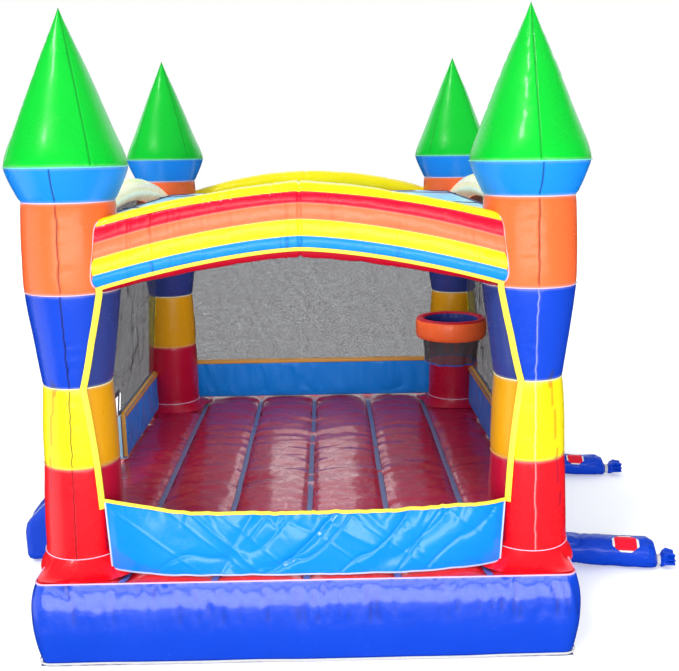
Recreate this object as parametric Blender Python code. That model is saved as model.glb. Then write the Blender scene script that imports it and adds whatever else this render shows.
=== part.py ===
"""Inflatable bounce house: four towers on an air-filled base, arches, mesh walls and a roof.

Metres, +Z up. The front faces -Y, the entrance is on the -X side and the air sleeves leave on
the +X side. The origin is the middle of the underside, on the ground.
"""

import math

import bmesh
import bpy
from mathutils import Matrix, Vector

GAP = 0.0003  # between two pieces that touch
SKIN = 0.0007  # coated vinyl, with its share of seams and webbing

# Base
HALF_X = 1.835
HALF_Y = 2.36
BASE_HEIGHT = 0.60
BASE_CORNER = 0.08
BASE_BULGE = 0.045

# Jump floor: six domed channels with a flat seam between each pair
CHANNELS = 6
CHANNEL_WIDTH = 0.62
SEAM_HALF = 0.031
SEAM_Z = 0.565
CHANNEL_RISE = 0.048
DOME_STEPS = 6

# Towers
TOWER_X = 1.58
TOWER_Y = 1.91
TOWER_FOOT = 0.617
TOWER_SIDES = 16
LEAN = 0.016  # metres inward for each metre up
PORT_RADIUS = 0.16
BANDS = (
    ("red", ((TOWER_FOOT, 0.300), (0.70, 0.272), (1.335, 0.2555)), "red"),
    ("yellow", ((1.335, 0.2555), (1.89, 0.2325)), "yellow"),
    ("blue", ((1.89, 0.2325), (2.21, 0.270), (2.533, 0.317)), "blue"),
    ("orange", ((2.533, 0.317), (3.123, 0.304)), "orange"),
    ("collar", ((3.123, 0.304), (3.348, 0.401)), "azure"),
    ("cone", ((3.348, 0.401), (3.44, 0.378), (3.90, 0.190), (4.3485, 0.0)), "green"),
)
CORNERS = (
    ("front_left", -1, -1),
    ("front_right", 1, -1),
    ("rear_left", -1, 1),
    ("rear_right", 1, 1),
)

# Front arch: coloured bands stacked in one beam, each (name, colour, height mid-span, height at ends)
ARCH_FRONT_Y = -2.135
ARCH_BACK_Y = -1.80
ARCH_SAG = 0.203  # from mid-span to the ends
ARCH_POWER = 1.5  # how the arch falls along its half span: 1 is a gable, 2 a parabola
ARCH_BOTTOM = 2.750
ARCH_BANDS = (
    ("underside", "crimson", 0.057, 0.012),
    ("azure", "azure", 0.085, 0.085),
    ("yellow", "yellow", 0.108, 0.108),
    ("orange", "orange", 0.105, 0.105),
    ("red", "red", 0.072, 0.105),
    ("top", "yellow", 0.050, 0.050),
)
FISH = 0.006  # room between a beam's end and the round tower that it meets

# Rear and side arches
SMALL_ARCH = 0.20
REAR_ARCH_Y = 1.93
SIDE_ARCH_X = 1.55
SMALL_ARCH_TOP = 3.21
REAR_SAG = 0.125
SIDE_SAG = 0.075

# Walls
WALL_HEIGHT = 0.44
WALL_DEPTH = 0.10
WALL_Z = 0.617
SIDE_WALL_X = 1.765
REAR_WALL_Y = 2.235
MESH_THICK = 0.002
ENTRANCE_FRONT_Y = -0.85
ENTRANCE_REAR_Y = 0.08
ENTRANCE_TOP = 1.27
DOOR_HINGE_Y = 0.10
DOOR_LENGTH = 0.86
DOOR_CLEAR = 0.024  # from the hinge line to the end of the low wall
DOOR_AJAR = math.radians(8)

# Roof
ROOF_EDGE_Z = 2.98
ROOF_RISE = 0.05

# Hoop
HOOP_CENTRE = (1.344, 0.45)
HOOP_RADIUS = 0.335
HOOP_HOLE = 0.245
HOOP_TOP = 1.86
HOOP_DEPTH = 0.20
NET_DEPTH = 0.24

# Entrance step
STEP_X = (-2.43, -1.885)
STEP_Y = (-0.80, 0.10)
STEP_TOP = 0.60

# Air sleeves, each (name, root y, sideways run, root height, length, radius)
SLEEVE_ROOT_X = 1.885
SLEEVES = (
    ("front", -0.93, -0.16, 0.150, 1.12, 0.125),
    ("rear", 1.15, -0.08, 0.200, 1.36, 0.105),
)

# Deflation zip on the rear of the base
ZIP_Z = 0.30
ZIP_HALF = 0.34

COLOURS = {
    "red": (0.80, 0.010, 0.014),
    "crimson": (0.45, 0.006, 0.030),
    "maroon": (0.42, 0.010, 0.035),
    "yellow": (1.00, 0.76, 0.005),
    "blue": (0.012, 0.085, 0.80),
    "navy": (0.020, 0.035, 0.20),
    "orange": (1.00, 0.14, 0.025),
    "azure": (0.005, 0.25, 0.92),
    "green": (0.005, 0.70, 0.045),
    "sky": (0.15, 0.52, 0.90),
    "net": (0.035, 0.037, 0.042),
    "webbing": (0.03, 0.03, 0.035),
    "metal": (0.60, 0.60, 0.62),
    "white": (0.82, 0.82, 0.80),
}


def clear_scene():
    for obj in list(bpy.data.objects):
        bpy.data.objects.remove(obj, do_unlink=True)


def material(name, colour):
    mat = bpy.data.materials.new(name)
    mat.use_nodes = True
    shader = mat.node_tree.nodes["Principled BSDF"]
    shader.inputs["Base Color"].default_value = (*COLOURS[colour], 1.0)
    shader.inputs["Metallic"].default_value = 1.0 if colour == "metal" else 0.0
    shader.inputs["Roughness"].default_value = 0.75 if colour == "net" else 0.32
    mat.diffuse_color = (*COLOURS[colour], 1.0)
    return mat


def make_object(name, points, faces, colour):
    mesh = bpy.data.meshes.new(name)
    mesh.from_pydata([tuple(p) for p in points], [], faces)
    work = bmesh.new()
    work.from_mesh(mesh)
    bmesh.ops.recalc_face_normals(work, faces=work.faces)
    work.to_mesh(mesh)
    work.free()
    mesh.materials.append(material(name, colour))
    obj = bpy.data.objects.new(name, mesh)
    bpy.context.collection.objects.link(obj)
    mesh.shade_smooth()
    mesh.set_sharp_from_angle(angle=math.radians(35))
    return obj


def put_origin(obj, place):
    """Moves the object's origin onto its joint's axis and leaves the shape where it is."""
    place = Vector(place)
    obj.data.transform(Matrix.Translation(-place))
    obj.location = place


def skinned(name, outer, inner, colour, split=False):
    """A hollow piece that is open at both ends: rings of points outside, the same inside.

    With split, each twisted face is cut from its front corner, so that stacked pieces match. The
    inner rings run the other way, so their faces are cut from the other corner: both sides of the
    skin then bend along the same line.
    """
    rings = list(outer) + list(reversed(inner))
    count = len(rings[0])
    points = [p for ring in rings for p in ring]
    faces = []
    for i in range(len(rings)):
        a, b = i * count, (i + 1) % len(rings) * count
        inside = i >= len(outer)
        for j in range(count):
            k = (j + 1) % count
            if not split:
                faces.append((a + j, a + k, b + k, b + j))
            elif (points[a + j][1] <= points[a + k][1]) != inside:
                faces += [(a + j, a + k, b + k), (a + j, b + k, b + j)]
            else:
                faces += [(a + j, a + k, b + j), (a + k, b + k, b + j)]
    return make_object(name, points, faces, colour)


def cupped(name, outer, inner, colour):
    """A hollow piece that is open where its rings begin and closed where they end."""
    count = len(outer[0])
    points = [p for ring in outer + inner for p in ring]
    faces = []
    for start in (0, len(outer) * count):
        for i in range(len(outer) - 1):
            a, b = start + i * count, start + (i + 1) * count
            faces += [(a + j, a + (j + 1) % count, b + (j + 1) % count, b + j) for j in range(count)]
        last = start + (len(outer) - 1) * count
        faces.append(tuple(range(last, last + count)))
    start = len(outer) * count
    faces += [(j, (j + 1) % count, start + (j + 1) % count, start + j) for j in range(count)]
    return make_object(name, points, faces, colour)


def extruded(name, outline, low, high, colour, place):
    """A flat outline between two levels; place(u, v, level) gives the point in space."""
    count = len(outline)
    points = [place(u, v, low) for u, v in outline] + [place(u, v, high) for u, v in outline]
    faces = [tuple(range(count)), tuple(range(count, 2 * count))]
    faces += [(i, (i + 1) % count, (i + 1) % count + count, i + count) for i in range(count)]
    return make_object(name, points, faces, colour)


def block(name, low, high, colour):
    outline = ((low[0], low[1]), (high[0], low[1]), (high[0], high[1]), (low[0], high[1]))
    return extruded(name, outline, low[2], high[2], colour, lambda u, v, w: (u, v, w))


def rounded_rectangle(half_u, half_v, radius, steps=4):
    points = []
    for su, sv, start in ((1, 1, 0), (-1, 1, 90), (-1, -1, 180), (1, -1, 270)):
        for i in range(steps + 1):
            angle = math.radians(start + 90 * i / steps)
            points.append(
                (
                    su * (half_u - radius) + radius * math.cos(angle),
                    sv * (half_v - radius) + radius * math.sin(angle),
                )
            )
    return points


def with_more_points(outline, longest):
    """The outline with its edges cut so that none runs further than this across."""
    points = []
    for (u0, v0), (u1, v1) in zip(outline, outline[1:] + outline[:1]):
        cuts = max(1, math.ceil(abs(u1 - u0) / longest))
        points += [(u0 + (u1 - u0) * i / cuts, v0 + (v1 - v0) * i / cuts) for i in range(cuts)]
    return points


def tower_radius(z):
    """The outer radius of a tower at height z."""
    profile = [point for _, band, _ in BANDS for point in band]
    for (z0, r0), (z1, r1) in zip(profile, profile[1:]):
        if z0 <= z <= z1 and z1 > z0:
            return r0 + (r1 - r0) * (z - z0) / (z1 - z0)
    return profile[0][1]


def tower_centre(sx, sy, z):
    lean = LEAN * (z - TOWER_FOOT)
    return sx * (TOWER_X - lean), sy * (TOWER_Y - lean)


def reach(across, z, centre_across, centre_along):
    """How far a beam runs before it meets the tower, for a line at this distance across it."""
    lean = LEAN * (z - TOWER_FOOT)
    radius = tower_radius(z) + FISH
    off = across - (centre_across - lean)
    return centre_along - lean - math.sqrt(max(0.0, radius * radius - off * off))


def reach_x(y, z):
    return reach(abs(y), z, TOWER_Y, TOWER_X)


def reach_y(x, z):
    return reach(abs(x), z, TOWER_X, TOWER_Y)


def build_base():
    def wall_ring(z, inset):
        bulge = BASE_BULGE * (1 - (2 * z / BASE_HEIGHT - 1) ** 2)
        outline = rounded_rectangle(
            HALF_X + bulge - inset, HALF_Y + bulge - inset, BASE_CORNER + bulge - inset
        )
        return [(x, y, z) for x, y in outline]

    levels = [BASE_HEIGHT * i / 4 for i in range(5)]
    skinned(
        "base_side_wall",
        [wall_ring(z, 0) for z in levels],
        [wall_ring(z, SKIN) for z in levels],
        "blue",
    )
    inset = SKIN + GAP
    outline = rounded_rectangle(HALF_X - inset, HALF_Y - inset, BASE_CORNER)
    extruded("base_bottom_panel", outline, 0.0, SKIN, "navy", lambda u, v, w: (u, v, w))


def floor_profile():
    """(x, z) across the jump floor: a flat seam between each pair of domed channels."""
    half = HALF_X - SKIN - GAP
    points = []
    for channel in range(CHANNELS):
        low = (channel - CHANNELS / 2) * CHANNEL_WIDTH + SEAM_HALF
        high = low + CHANNEL_WIDTH - 2 * SEAM_HALF
        low, high = max(low, -half), min(high, half)
        for i in range(DOME_STEPS + 1):
            angle = math.pi * i / DOME_STEPS
            x = (low + high) / 2 - (high - low) / 2 * math.cos(angle)
            points.append((x, SEAM_Z + CHANNEL_RISE * math.sin(angle) ** 0.8))
    return points


def floor_end(x):
    """Half the floor's length at this x, inside the rounded corners of the side wall."""
    inset = SKIN + GAP + 0.001
    past = abs(x) - (HALF_X - BASE_CORNER)
    if past <= 0:
        return HALF_Y - inset
    return HALF_Y - inset - BASE_CORNER + math.sqrt(max(0.0, BASE_CORNER**2 - past**2))


def build_floor():
    profile = floor_profile()
    points = []
    for drop in (0.0, SKIN):
        for sign in (-1, 1):
            points += [(x, sign * floor_end(x), z - drop) for x, z in profile]
    count = len(profile)
    faces = []
    for i in range(count - 1):
        faces.append((i, i + 1, count + i + 1, count + i))
        faces.append((2 * count + i, 3 * count + i, 3 * count + i + 1, 2 * count + i + 1))
        faces.append((i, 2 * count + i, 2 * count + i + 1, i + 1))
        faces.append((count + i, count + i + 1, 3 * count + i + 1, 3 * count + i))
    for i in (0, count - 1):
        faces.append((i, count + i, 3 * count + i, 2 * count + i))
    floor = make_object("jump_floor", points, faces, "maroon")
    for _, sx, sy in CORNERS:
        cutter = round_cutter(sx * TOWER_X, sy * TOWER_Y, PORT_RADIUS, 0.50, 0.70)
        cut = floor.modifiers.new("air port", "BOOLEAN")
        cut.operation = "DIFFERENCE"
        cut.solver = "EXACT"
        cut.object = cutter

    for k in range(1, CHANNELS):
        x = (k - CHANNELS / 2) * CHANNEL_WIDTH
        end = floor_end(x)
        low = (x - SEAM_HALF + 0.003, -end, SEAM_Z + GAP)
        high = (x + SEAM_HALF - 0.003, REAR_WALL_Y - WALL_DEPTH / 2 - 0.001, SEAM_Z + 0.004)
        block(f"floor_seam_strip_{k}", low, high, "navy")

    build_baffles()


def round_cutter(x, y, radius, low, high, sides=16):
    outline = [
        (x + radius * math.cos(2 * math.pi * i / sides), y + radius * math.sin(2 * math.pi * i / sides))
        for i in range(sides)
    ]
    cutter = extruded("cutter", outline, low, high, "net", lambda u, v, w: (u, v, w))
    cutter.hide_render = True
    cutter.display_type = "WIRE"
    return cutter


def build_baffles():
    """The webs that tie the floor's seams down, standing on one tape along the bottom panel."""
    foot = SKIN + GAP
    top = SEAM_Z - SKIN - GAP
    outline = []
    for k in range(1, CHANNELS):
        x = (k - CHANNELS / 2) * CHANNEL_WIDTH
        if k > 1:
            outline.append((x - SKIN / 2, foot + SKIN))
        else:
            outline.append((x - SKIN / 2, foot))
        outline += [(x - SKIN / 2, top), (x + SKIN / 2, top)]
        if k < CHANNELS - 1:
            outline.append((x + SKIN / 2, foot + SKIN))
        else:
            outline.append((x + SKIN / 2, foot))
    half = HALF_Y - 0.25
    extruded("floor_baffles", outline, -half, half, "white", lambda u, v, w: (u, w, v))


def build_tower(corner, sx, sy):
    for band, profile, colour in BANDS:
        def ring(z, radius):
            cx, cy = tower_centre(sx, sy, z)
            return [
                (
                    cx + radius * math.cos(2 * math.pi * i / TOWER_SIDES),
                    cy + radius * math.sin(2 * math.pi * i / TOWER_SIDES),
                    z,
                )
                for i in range(TOWER_SIDES)
            ]

        name = f"tower_{corner}_{band}"
        levels = [[z, r] for z, r in profile]
        levels[0][0] += GAP
        if band != "cone":
            outer = [ring(z, r) for z, r in levels]
            inner = [ring(z, r - SKIN) for z, r in levels]
            skinned(name, outer, inner, colour)
            continue
        tip = levels.pop()
        rings = [ring(z, r) for z, r in levels] + [ring(z, r - SKIN) for z, r in reversed(levels)]
        half = len(levels)
        points = [p for one in rings for p in one]
        faces = []
        for i in range(len(rings)):
            if i == half - 1:
                continue
            a, b = i * TOWER_SIDES, (i + 1) % len(rings) * TOWER_SIDES
            for j in range(TOWER_SIDES):
                k = (j + 1) % TOWER_SIDES
                faces.append((a + j, a + k, b + k, b + j))
        cx, cy = tower_centre(sx, sy, tip[0])
        points += [(cx, cy, tip[0]), (cx, cy, tip[0] - 4 * SKIN)]
        for i, apex in ((half - 1, len(points) - 2), (half, len(points) - 1)):
            for j in range(TOWER_SIDES):
                faces.append((i * TOWER_SIDES + j, i * TOWER_SIDES + (j + 1) % TOWER_SIDES, apex))
        make_object(name, points, faces, colour)


def build_front_arch():
    steps = 8
    half_y = (ARCH_BACK_Y - ARCH_FRONT_Y) / 2
    mid_y = (ARCH_BACK_Y + ARCH_FRONT_Y) / 2
    low_mid, low_end = ARCH_BOTTOM, 0.0
    for name, colour, mid_height, end_height in ARCH_BANDS:
        def ring(s, inset, low_mid=low_mid, low_end=low_end):
            blend = abs(s) ** ARCH_POWER
            low = low_mid + low_end * blend + GAP
            height = mid_height + (end_height - mid_height) * blend - GAP
            points = []
            half_v, half_w = half_y - inset, height / 2 - inset
            outline = [(half_v, half_w), (-half_v, half_w), (-half_v, -half_w), (half_v, -half_w)]
            for v, w in with_more_points(outline, 0.056):
                y = mid_y + v
                z = low + height / 2 + w
                x = s * reach_x(y, z - ARCH_SAG)
                points.append((x, y, z - ARCH_SAG * blend))
            return points

        spans = [-1 + 2 * i / steps for i in range(steps + 1)]
        skinned(
            f"front_arch_{name}",
            [ring(s, 0) for s in spans],
            [ring(s, SKIN) for s in spans],
            colour,
            split=True,
        )
        low_mid += mid_height
        low_end += end_height - mid_height


def build_small_arches():
    steps = 8
    sides = 10
    spans = [-1 + 2 * i / steps for i in range(steps + 1)]
    radius = SMALL_ARCH / 2

    def section(inset):
        return [
            (
                (radius - inset) * math.cos(2 * math.pi * i / sides),
                (radius - inset) * math.sin(2 * math.pi * i / sides),
            )
            for i in range(sides)
        ]

    def rear_ring(s, inset):
        points = []
        for v, w in section(inset):
            y, z = REAR_ARCH_Y + v, SMALL_ARCH_TOP - radius + w
            x = s * reach_x(y, z - REAR_SAG * 1.4)
            points.append((x, y, z - REAR_SAG * x * x))
        return points

    def side_ring(side, s, inset):
        points = []
        for u, w in section(inset):
            x, z = side * (SIDE_ARCH_X + u), SMALL_ARCH_TOP - radius + w
            y = s * reach_y(x, z - SIDE_SAG * 2.5)
            points.append((x, y, z - SIDE_SAG * y * y))
        return points

    skinned(
        "rear_arch",
        [rear_ring(s, 0) for s in spans],
        [rear_ring(s, SKIN) for s in spans],
        "yellow",
    )
    for name, side in (("left_arch", -1), ("right_arch", 1)):
        skinned(
            name,
            [side_ring(side, s, 0) for s in spans],
            [side_ring(side, s, SKIN) for s in spans],
            "yellow",
        )


def build_roof():
    """A thin dome between the arches, notched round the towers."""
    half_x = SIDE_ARCH_X - SMALL_ARCH / 2 - 0.012
    half_y = 1.79
    # Close together where the edge goes round a tower
    right = [0.40, 0.80, 1.18] + [1.18 + (half_x - 1.18) * i / 5 for i in range(1, 6)]
    across = [-x for x in reversed(right)] + [0.0] + right
    columns, rows = len(across) - 1, 4
    points = []
    for drop in (0.0, SKIN):
        for x in across:
            end = min(half_y, reach_y(x, ROOF_EDGE_Z) - 0.01)
            for j in range(rows + 1):
                s = -1 + 2 * j / rows
                z = ROOF_EDGE_Z + ROOF_RISE * (1 - (x / half_x) ** 2) * (1 - s * s) - drop
                points.append((x, s * end, z))
    layer = (columns + 1) * (rows + 1)

    def at(i, j):
        return i * (rows + 1) + j

    faces = []
    for i in range(columns):
        for j in range(rows):
            a, b, c, d = at(i, j), at(i + 1, j), at(i + 1, j + 1), at(i, j + 1)
            for corners in ((a, b, c), (a, c, d)):
                faces.append(corners)
                faces.append(tuple(layer + p for p in reversed(corners)))
    edge = [at(i, 0) for i in range(columns + 1)]
    edge += [at(columns, j) for j in range(1, rows + 1)]
    edge += [at(i, rows) for i in range(columns - 1, -1, -1)]
    edge += [at(0, j) for j in range(rows - 1, 0, -1)]
    for a, b in zip(edge, edge[1:] + edge[:1]):
        faces.append((a, b, layer + b, layer + a))
    make_object("roof_panel", points, faces, "sky")


def wall_section(inset):
    """(across, up) round the section of a low padded wall."""
    half_w, half_h = WALL_DEPTH / 2 - inset, WALL_HEIGHT / 2 - inset
    return rounded_rectangle(half_w, half_h, 0.04 - inset, 3)


def build_low_walls():
    mid_z = WALL_Z + WALL_HEIGHT / 2

    def side_ring(side, inset, near, far):
        """The ring where the wall starts or ends; a None end meets the tower."""
        points = []
        for u, w in wall_section(inset):
            x, z = side * (SIDE_WALL_X + u), mid_z + w
            limit = reach_y(x, z)
            points.append([(x, y if y is not None else limit * sign, z) for y, sign in (near, far)])
        return points

    for name, side, near, far in (
        ("low_wall_left", -1, (DOOR_HINGE_Y + DOOR_CLEAR, 1), (None, 1)),
        ("low_wall_right", 1, (None, -1), (None, 1)),
    ):
        outer = side_ring(side, 0, near, far)
        inner = side_ring(side, SKIN, near, far)
        skinned(
            name,
            [[p[0] for p in outer], [p[1] for p in outer]],
            [[p[0] for p in inner], [p[1] for p in inner]],
            "azure",
        )

    def rear_ring(sign, inset):
        points = []
        for v, w in wall_section(inset):
            y, z = REAR_WALL_Y + v, mid_z + w
            points.append((sign * reach_x(y, z), y, z))
        return points

    skinned(
        "low_wall_rear",
        [rear_ring(-1, 0), rear_ring(1, 0)],
        [rear_ring(-1, SKIN), rear_ring(1, SKIN)],
        "azure",
    )


def build_meshes():
    """Net walls that lean in from the low walls to the arches' undersides."""
    low = WALL_Z + WALL_HEIGHT + 0.001
    levels = (low, 1.335, 1.89, 2.21, 2.533)
    arch_low = SMALL_ARCH_TOP - SMALL_ARCH - 0.012

    def outline_of(base, top, limit, sag):
        """Up one side, along the arch, and down the other; and where a point at height z lies."""

        def across(z):
            return base + (top - base) * (z - low) / (arch_low - low)

        rising = [(limit(across(z), z) - 0.012, z) for z in levels]
        span = rising[-1][0] - 0.03
        crown = [(span * (1 - i / 4), arch_low - sag * (span * (1 - i / 4)) ** 2) for i in range(9)]
        falling = [(-u, z) for u, z in reversed(rising)]
        return rising + crown + falling, across

    def slab(name, outline, place):
        extruded(name, outline, -MESH_THICK / 2, MESH_THICK / 2, "net", place)

    outline, across = outline_of(SIDE_WALL_X, SIDE_ARCH_X + 0.03, reach_y, SIDE_SAG)
    slab("mesh_wall_right", outline, lambda u, v, w: (across(v) + w, u, v))

    foot = WALL_Z + 0.002
    outline += [
        (0.012 - reach_y(SIDE_WALL_X, foot), foot),
        (ENTRANCE_FRONT_Y, foot),
        (ENTRANCE_FRONT_Y, ENTRANCE_TOP),
        (ENTRANCE_REAR_Y, ENTRANCE_TOP),
        (ENTRANCE_REAR_Y, low + 0.012),
        (DOOR_HINGE_Y + DOOR_CLEAR, low + 0.012),
        (DOOR_HINGE_Y + DOOR_CLEAR, low),
    ]
    slab("mesh_wall_left", outline, lambda u, v, w: (w - across(v), u, v))

    outline, rear_across = outline_of(REAR_WALL_Y, REAR_ARCH_Y + 0.03, reach_x, REAR_SAG)
    slab("mesh_wall_rear", outline, lambda u, v, w: (u, rear_across(v) + w, v))


def build_front_skirt():
    """A loose vinyl apron across the front opening, bowed forward, with a rolled top edge."""
    steps = 16
    thick = 0.012
    bottom, top = WALL_Z, WALL_Z + 0.425
    outer, inner = [], []
    for i in range(steps + 1):
        s = -1 + 2 * i / steps
        x = s * 1.29
        y = -2.14 - 0.15 * (1 - s**4)
        outer.append((x, y))
        inner.append((x, y + thick))
    outline = outer + inner[::-1]
    extruded("front_skirt", outline, bottom, top, "azure", lambda u, v, w: (u, v, w))


def build_hoop():
    cx, cy = HOOP_CENTRE
    sides = 20

    def ring(radius, z):
        return [
            (
                cx + radius * math.cos(2 * math.pi * i / sides),
                cy + radius * math.sin(2 * math.pi * i / sides),
                z,
            )
            for i in range(sides)
        ]

    bevel = 0.02
    low = HOOP_TOP - HOOP_DEPTH
    profile = (
        (HOOP_RADIUS, low + bevel),
        (HOOP_RADIUS, HOOP_TOP - bevel),
        (HOOP_RADIUS - bevel, HOOP_TOP),
        (HOOP_HOLE + bevel, HOOP_TOP),
        (HOOP_HOLE, HOOP_TOP - bevel),
        (HOOP_HOLE, low + bevel),
        (HOOP_HOLE + bevel, low),
        (HOOP_RADIUS - bevel, low),
    )
    rings = [ring(r, z) for r, z in profile]
    skinned("hoop_ring", rings[:4], rings[:3:-1], "orange")
    top, bottom = low - GAP, low - NET_DEPTH
    outer = [ring(HOOP_HOLE + 0.034, top), ring(0.237, bottom)]
    inner = [ring(HOOP_HOLE + 0.032, top), ring(0.235, bottom)]
    skinned("hoop_net", outer, inner, "net")


def build_entrance():
    """The padded step outside the entrance, and the low door that hangs ajar beside it."""
    (x0, x1), (y0, y1) = STEP_X, STEP_Y
    # (distance in from the outer end, foot height, top height)
    profile = (
        (x1 - x0, GAP, STEP_TOP - 0.01),
        (0.30, GAP, STEP_TOP + 0.004),
        (0.20, GAP, STEP_TOP - 0.026),
        (0.07, GAP, STEP_TOP - 0.15),
        (0.0, 0.02, STEP_TOP - 0.24),
    )

    def ring(inset):
        rings = []
        for i, (along, foot, top) in enumerate(profile):
            x = x0 + along + (inset if i == len(profile) - 1 else 0.0)
            low, high = foot + inset, top - inset
            near, far = y0 + inset, y1 - inset
            rings.append([(x, near, low), (x, far, low), (x, far, high), (x, near, high)])
        return rings

    cupped("entrance_step", ring(0.0), ring(SKIN), "blue")

    low, high = 0.632, 0.632 + WALL_HEIGHT - 0.02
    half = 0.018
    outline = [(0.0, -half), (-DOOR_LENGTH, -half), (-DOOR_LENGTH - half, 0.0)]
    outline += [(-DOOR_LENGTH, half), (0.0, half)]
    cos, sin = math.cos(DOOR_AJAR), math.sin(DOOR_AJAR)

    def place(along, across, z):
        return (
            -SIDE_WALL_X + across * cos + along * sin,
            DOOR_HINGE_Y + along * cos - across * sin,
            z,
        )

    door = extruded("entrance_door", outline, low, high, "sky", place)
    put_origin(door, (-SIDE_WALL_X, DOOR_HINGE_Y, low))


def build_sleeves():
    sides = 12
    for name, root_y, run_y, root_z, length, radius in SLEEVES:
        # (distance along the sleeve, radius): inflated tube, tied neck, loose bunched end
        profile = (
            (0.045, radius * 0.96),
            (0.16, radius),
            (length * 0.74, radius * 0.98),
            (length * 0.84, radius * 0.60),
            (length * 0.875, 0.034),
            (length * 0.905, 0.034),
            (length * 0.94, 0.062),
            (length, 0.070),
        )
        heading = Vector((math.sqrt(length**2 - run_y**2), run_y, 0.0)).normalized()
        aside = Vector((-heading.y, heading.x, 0.0))
        rest = 0.008

        def ring(distance, r, rise_radius):
            fall = min(1.0, distance / (length * 0.7))
            lie = rest + rise_radius
            z = root_z + (lie - root_z) * (3 * fall**2 - 2 * fall**3)
            middle = Vector((SLEEVE_ROOT_X, root_y, z)) + heading * distance
            ring_points = []
            for i in range(sides):
                angle = 2 * math.pi * i / sides
                point = middle + aside * (r * math.cos(angle)) + Vector((0, 0, r * math.sin(angle)))
                ring_points.append(tuple(point))
            return ring_points

        outer = [ring(d, r, r) for d, r in profile]
        inner = [ring(d, r - SKIN, r) for d, r in profile]
        sleeve = skinned(f"blower_sleeve_{name}", outer, inner, "blue")
        put_origin(sleeve, (SLEEVE_ROOT_X, root_y, root_z))

        neck = length * 0.89
        strap = skinned(
            f"sleeve_tie_strap_{name}",
            [ring(neck - 0.012, 0.0405, 0.034), ring(neck + 0.012, 0.0405, 0.034)],
            [ring(neck - 0.012, 0.0355, 0.034), ring(neck + 0.012, 0.0355, 0.034)],
            "webbing",
        )
        put_origin(strap, (SLEEVE_ROOT_X, root_y, root_z))


def build_zip():
    wall_y = HALF_Y + BASE_BULGE
    low, high = ZIP_Z - 0.055, ZIP_Z + 0.055
    flap = block(
        "zip_cover_flap",
        (-ZIP_HALF, wall_y + 0.0120, low),
        (ZIP_HALF, wall_y + 0.0135, high),
        "blue",
    )
    put_origin(flap, (0.0, wall_y + 0.0120, high))
    slider = block(
        "zip_slider",
        (-0.290, wall_y + 0.0015, ZIP_Z - 0.007),
        (-0.255, wall_y + 0.0095, ZIP_Z + 0.007),
        "metal",
    )
    put_origin(slider, (-0.2725, wall_y + 0.0055, ZIP_Z))


def main():
    clear_scene()
    build_base()
    build_floor()
    for corner, sx, sy in CORNERS:
        build_tower(corner, sx, sy)
    build_front_arch()
    build_small_arches()
    build_roof()
    build_low_walls()
    build_meshes()
    build_front_skirt()
    build_hoop()
    build_entrance()
    build_sleeves()
    build_zip()


main()
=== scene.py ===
"""The looks of the inflatable bounce house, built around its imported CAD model.

Metres, +Z up, in the frame of the CAD model: the front faces -Y, the entrance is on the -X side
and the air sleeves leave on the +X side. The skins are coated vinyl under air pressure, so each
panel swells between its seams and puckers beside them.
"""

import functools
import math

import bpy
import numpy as np
from mathutils import Matrix, Vector


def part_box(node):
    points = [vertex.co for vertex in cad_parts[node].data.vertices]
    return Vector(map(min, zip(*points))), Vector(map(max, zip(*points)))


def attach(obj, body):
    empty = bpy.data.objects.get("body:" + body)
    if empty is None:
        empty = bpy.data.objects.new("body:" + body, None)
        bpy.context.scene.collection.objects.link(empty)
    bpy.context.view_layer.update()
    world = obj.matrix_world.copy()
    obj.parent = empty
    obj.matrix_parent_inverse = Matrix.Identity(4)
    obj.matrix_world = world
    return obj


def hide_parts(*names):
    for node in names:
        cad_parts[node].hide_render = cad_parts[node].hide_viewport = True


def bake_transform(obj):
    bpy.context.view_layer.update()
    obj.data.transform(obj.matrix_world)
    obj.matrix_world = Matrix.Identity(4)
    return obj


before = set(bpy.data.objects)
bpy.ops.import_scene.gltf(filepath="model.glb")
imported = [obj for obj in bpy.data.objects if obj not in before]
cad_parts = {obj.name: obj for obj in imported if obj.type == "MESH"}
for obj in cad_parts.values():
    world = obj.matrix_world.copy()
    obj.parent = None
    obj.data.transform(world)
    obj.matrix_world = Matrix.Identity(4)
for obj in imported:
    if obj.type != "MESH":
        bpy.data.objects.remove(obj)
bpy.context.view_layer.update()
HOUSE = "house"

# Sizes shared with the CAD model
BASE_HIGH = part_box("base_side_wall")[1]
BASE_HEIGHT = BASE_HIGH.z
BASE_BULGE = 0.045
HALF_X = BASE_HIGH.x - BASE_BULGE
HALF_Y = BASE_HIGH.y - BASE_BULGE
BASE_CORNER = 0.08
CHANNELS = 6
CHANNEL_WIDTH = 0.62
SEAM_HALF = 0.031
SEAM_Z = 0.565
CHANNEL_RISE = 0.048
TOWER_X, TOWER_Y = 1.58, 1.91
TOWER_FOOT, FLARE_TOP = 0.617, 0.70
LEAN = 0.016  # metres inward for each metre up
BANDS = (  # name, (height, radius) up its side, colour
    ("red", ((TOWER_FOOT, 0.300), (FLARE_TOP, 0.272), (1.335, 0.2555)), "red"),
    ("yellow", ((1.335, 0.2555), (1.89, 0.2325)), "yellow"),
    ("blue", ((1.89, 0.2325), (2.21, 0.270), (2.533, 0.317)), "blue"),
    ("orange", ((2.533, 0.317), (3.123, 0.304)), "orange"),
    ("collar", ((3.123, 0.304), (3.348, 0.401)), "azure"),
    ("cone", ((3.348, 0.401), (3.44, 0.378), (3.90, 0.190), (4.3485, 0.0)), "green"),
)
CORNERS = (
    ("front_left", -1, -1),
    ("front_right", 1, -1),
    ("rear_left", -1, 1),
    ("rear_right", 1, 1),
)
ARCH_Y, ARCH_HALF = -1.9675, 0.1675  # the front arch's middle and half its depth
ARCH_SAG = 0.203
ARCH_POWER = 1.5
ARCH_BOTTOM = 2.750
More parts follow.
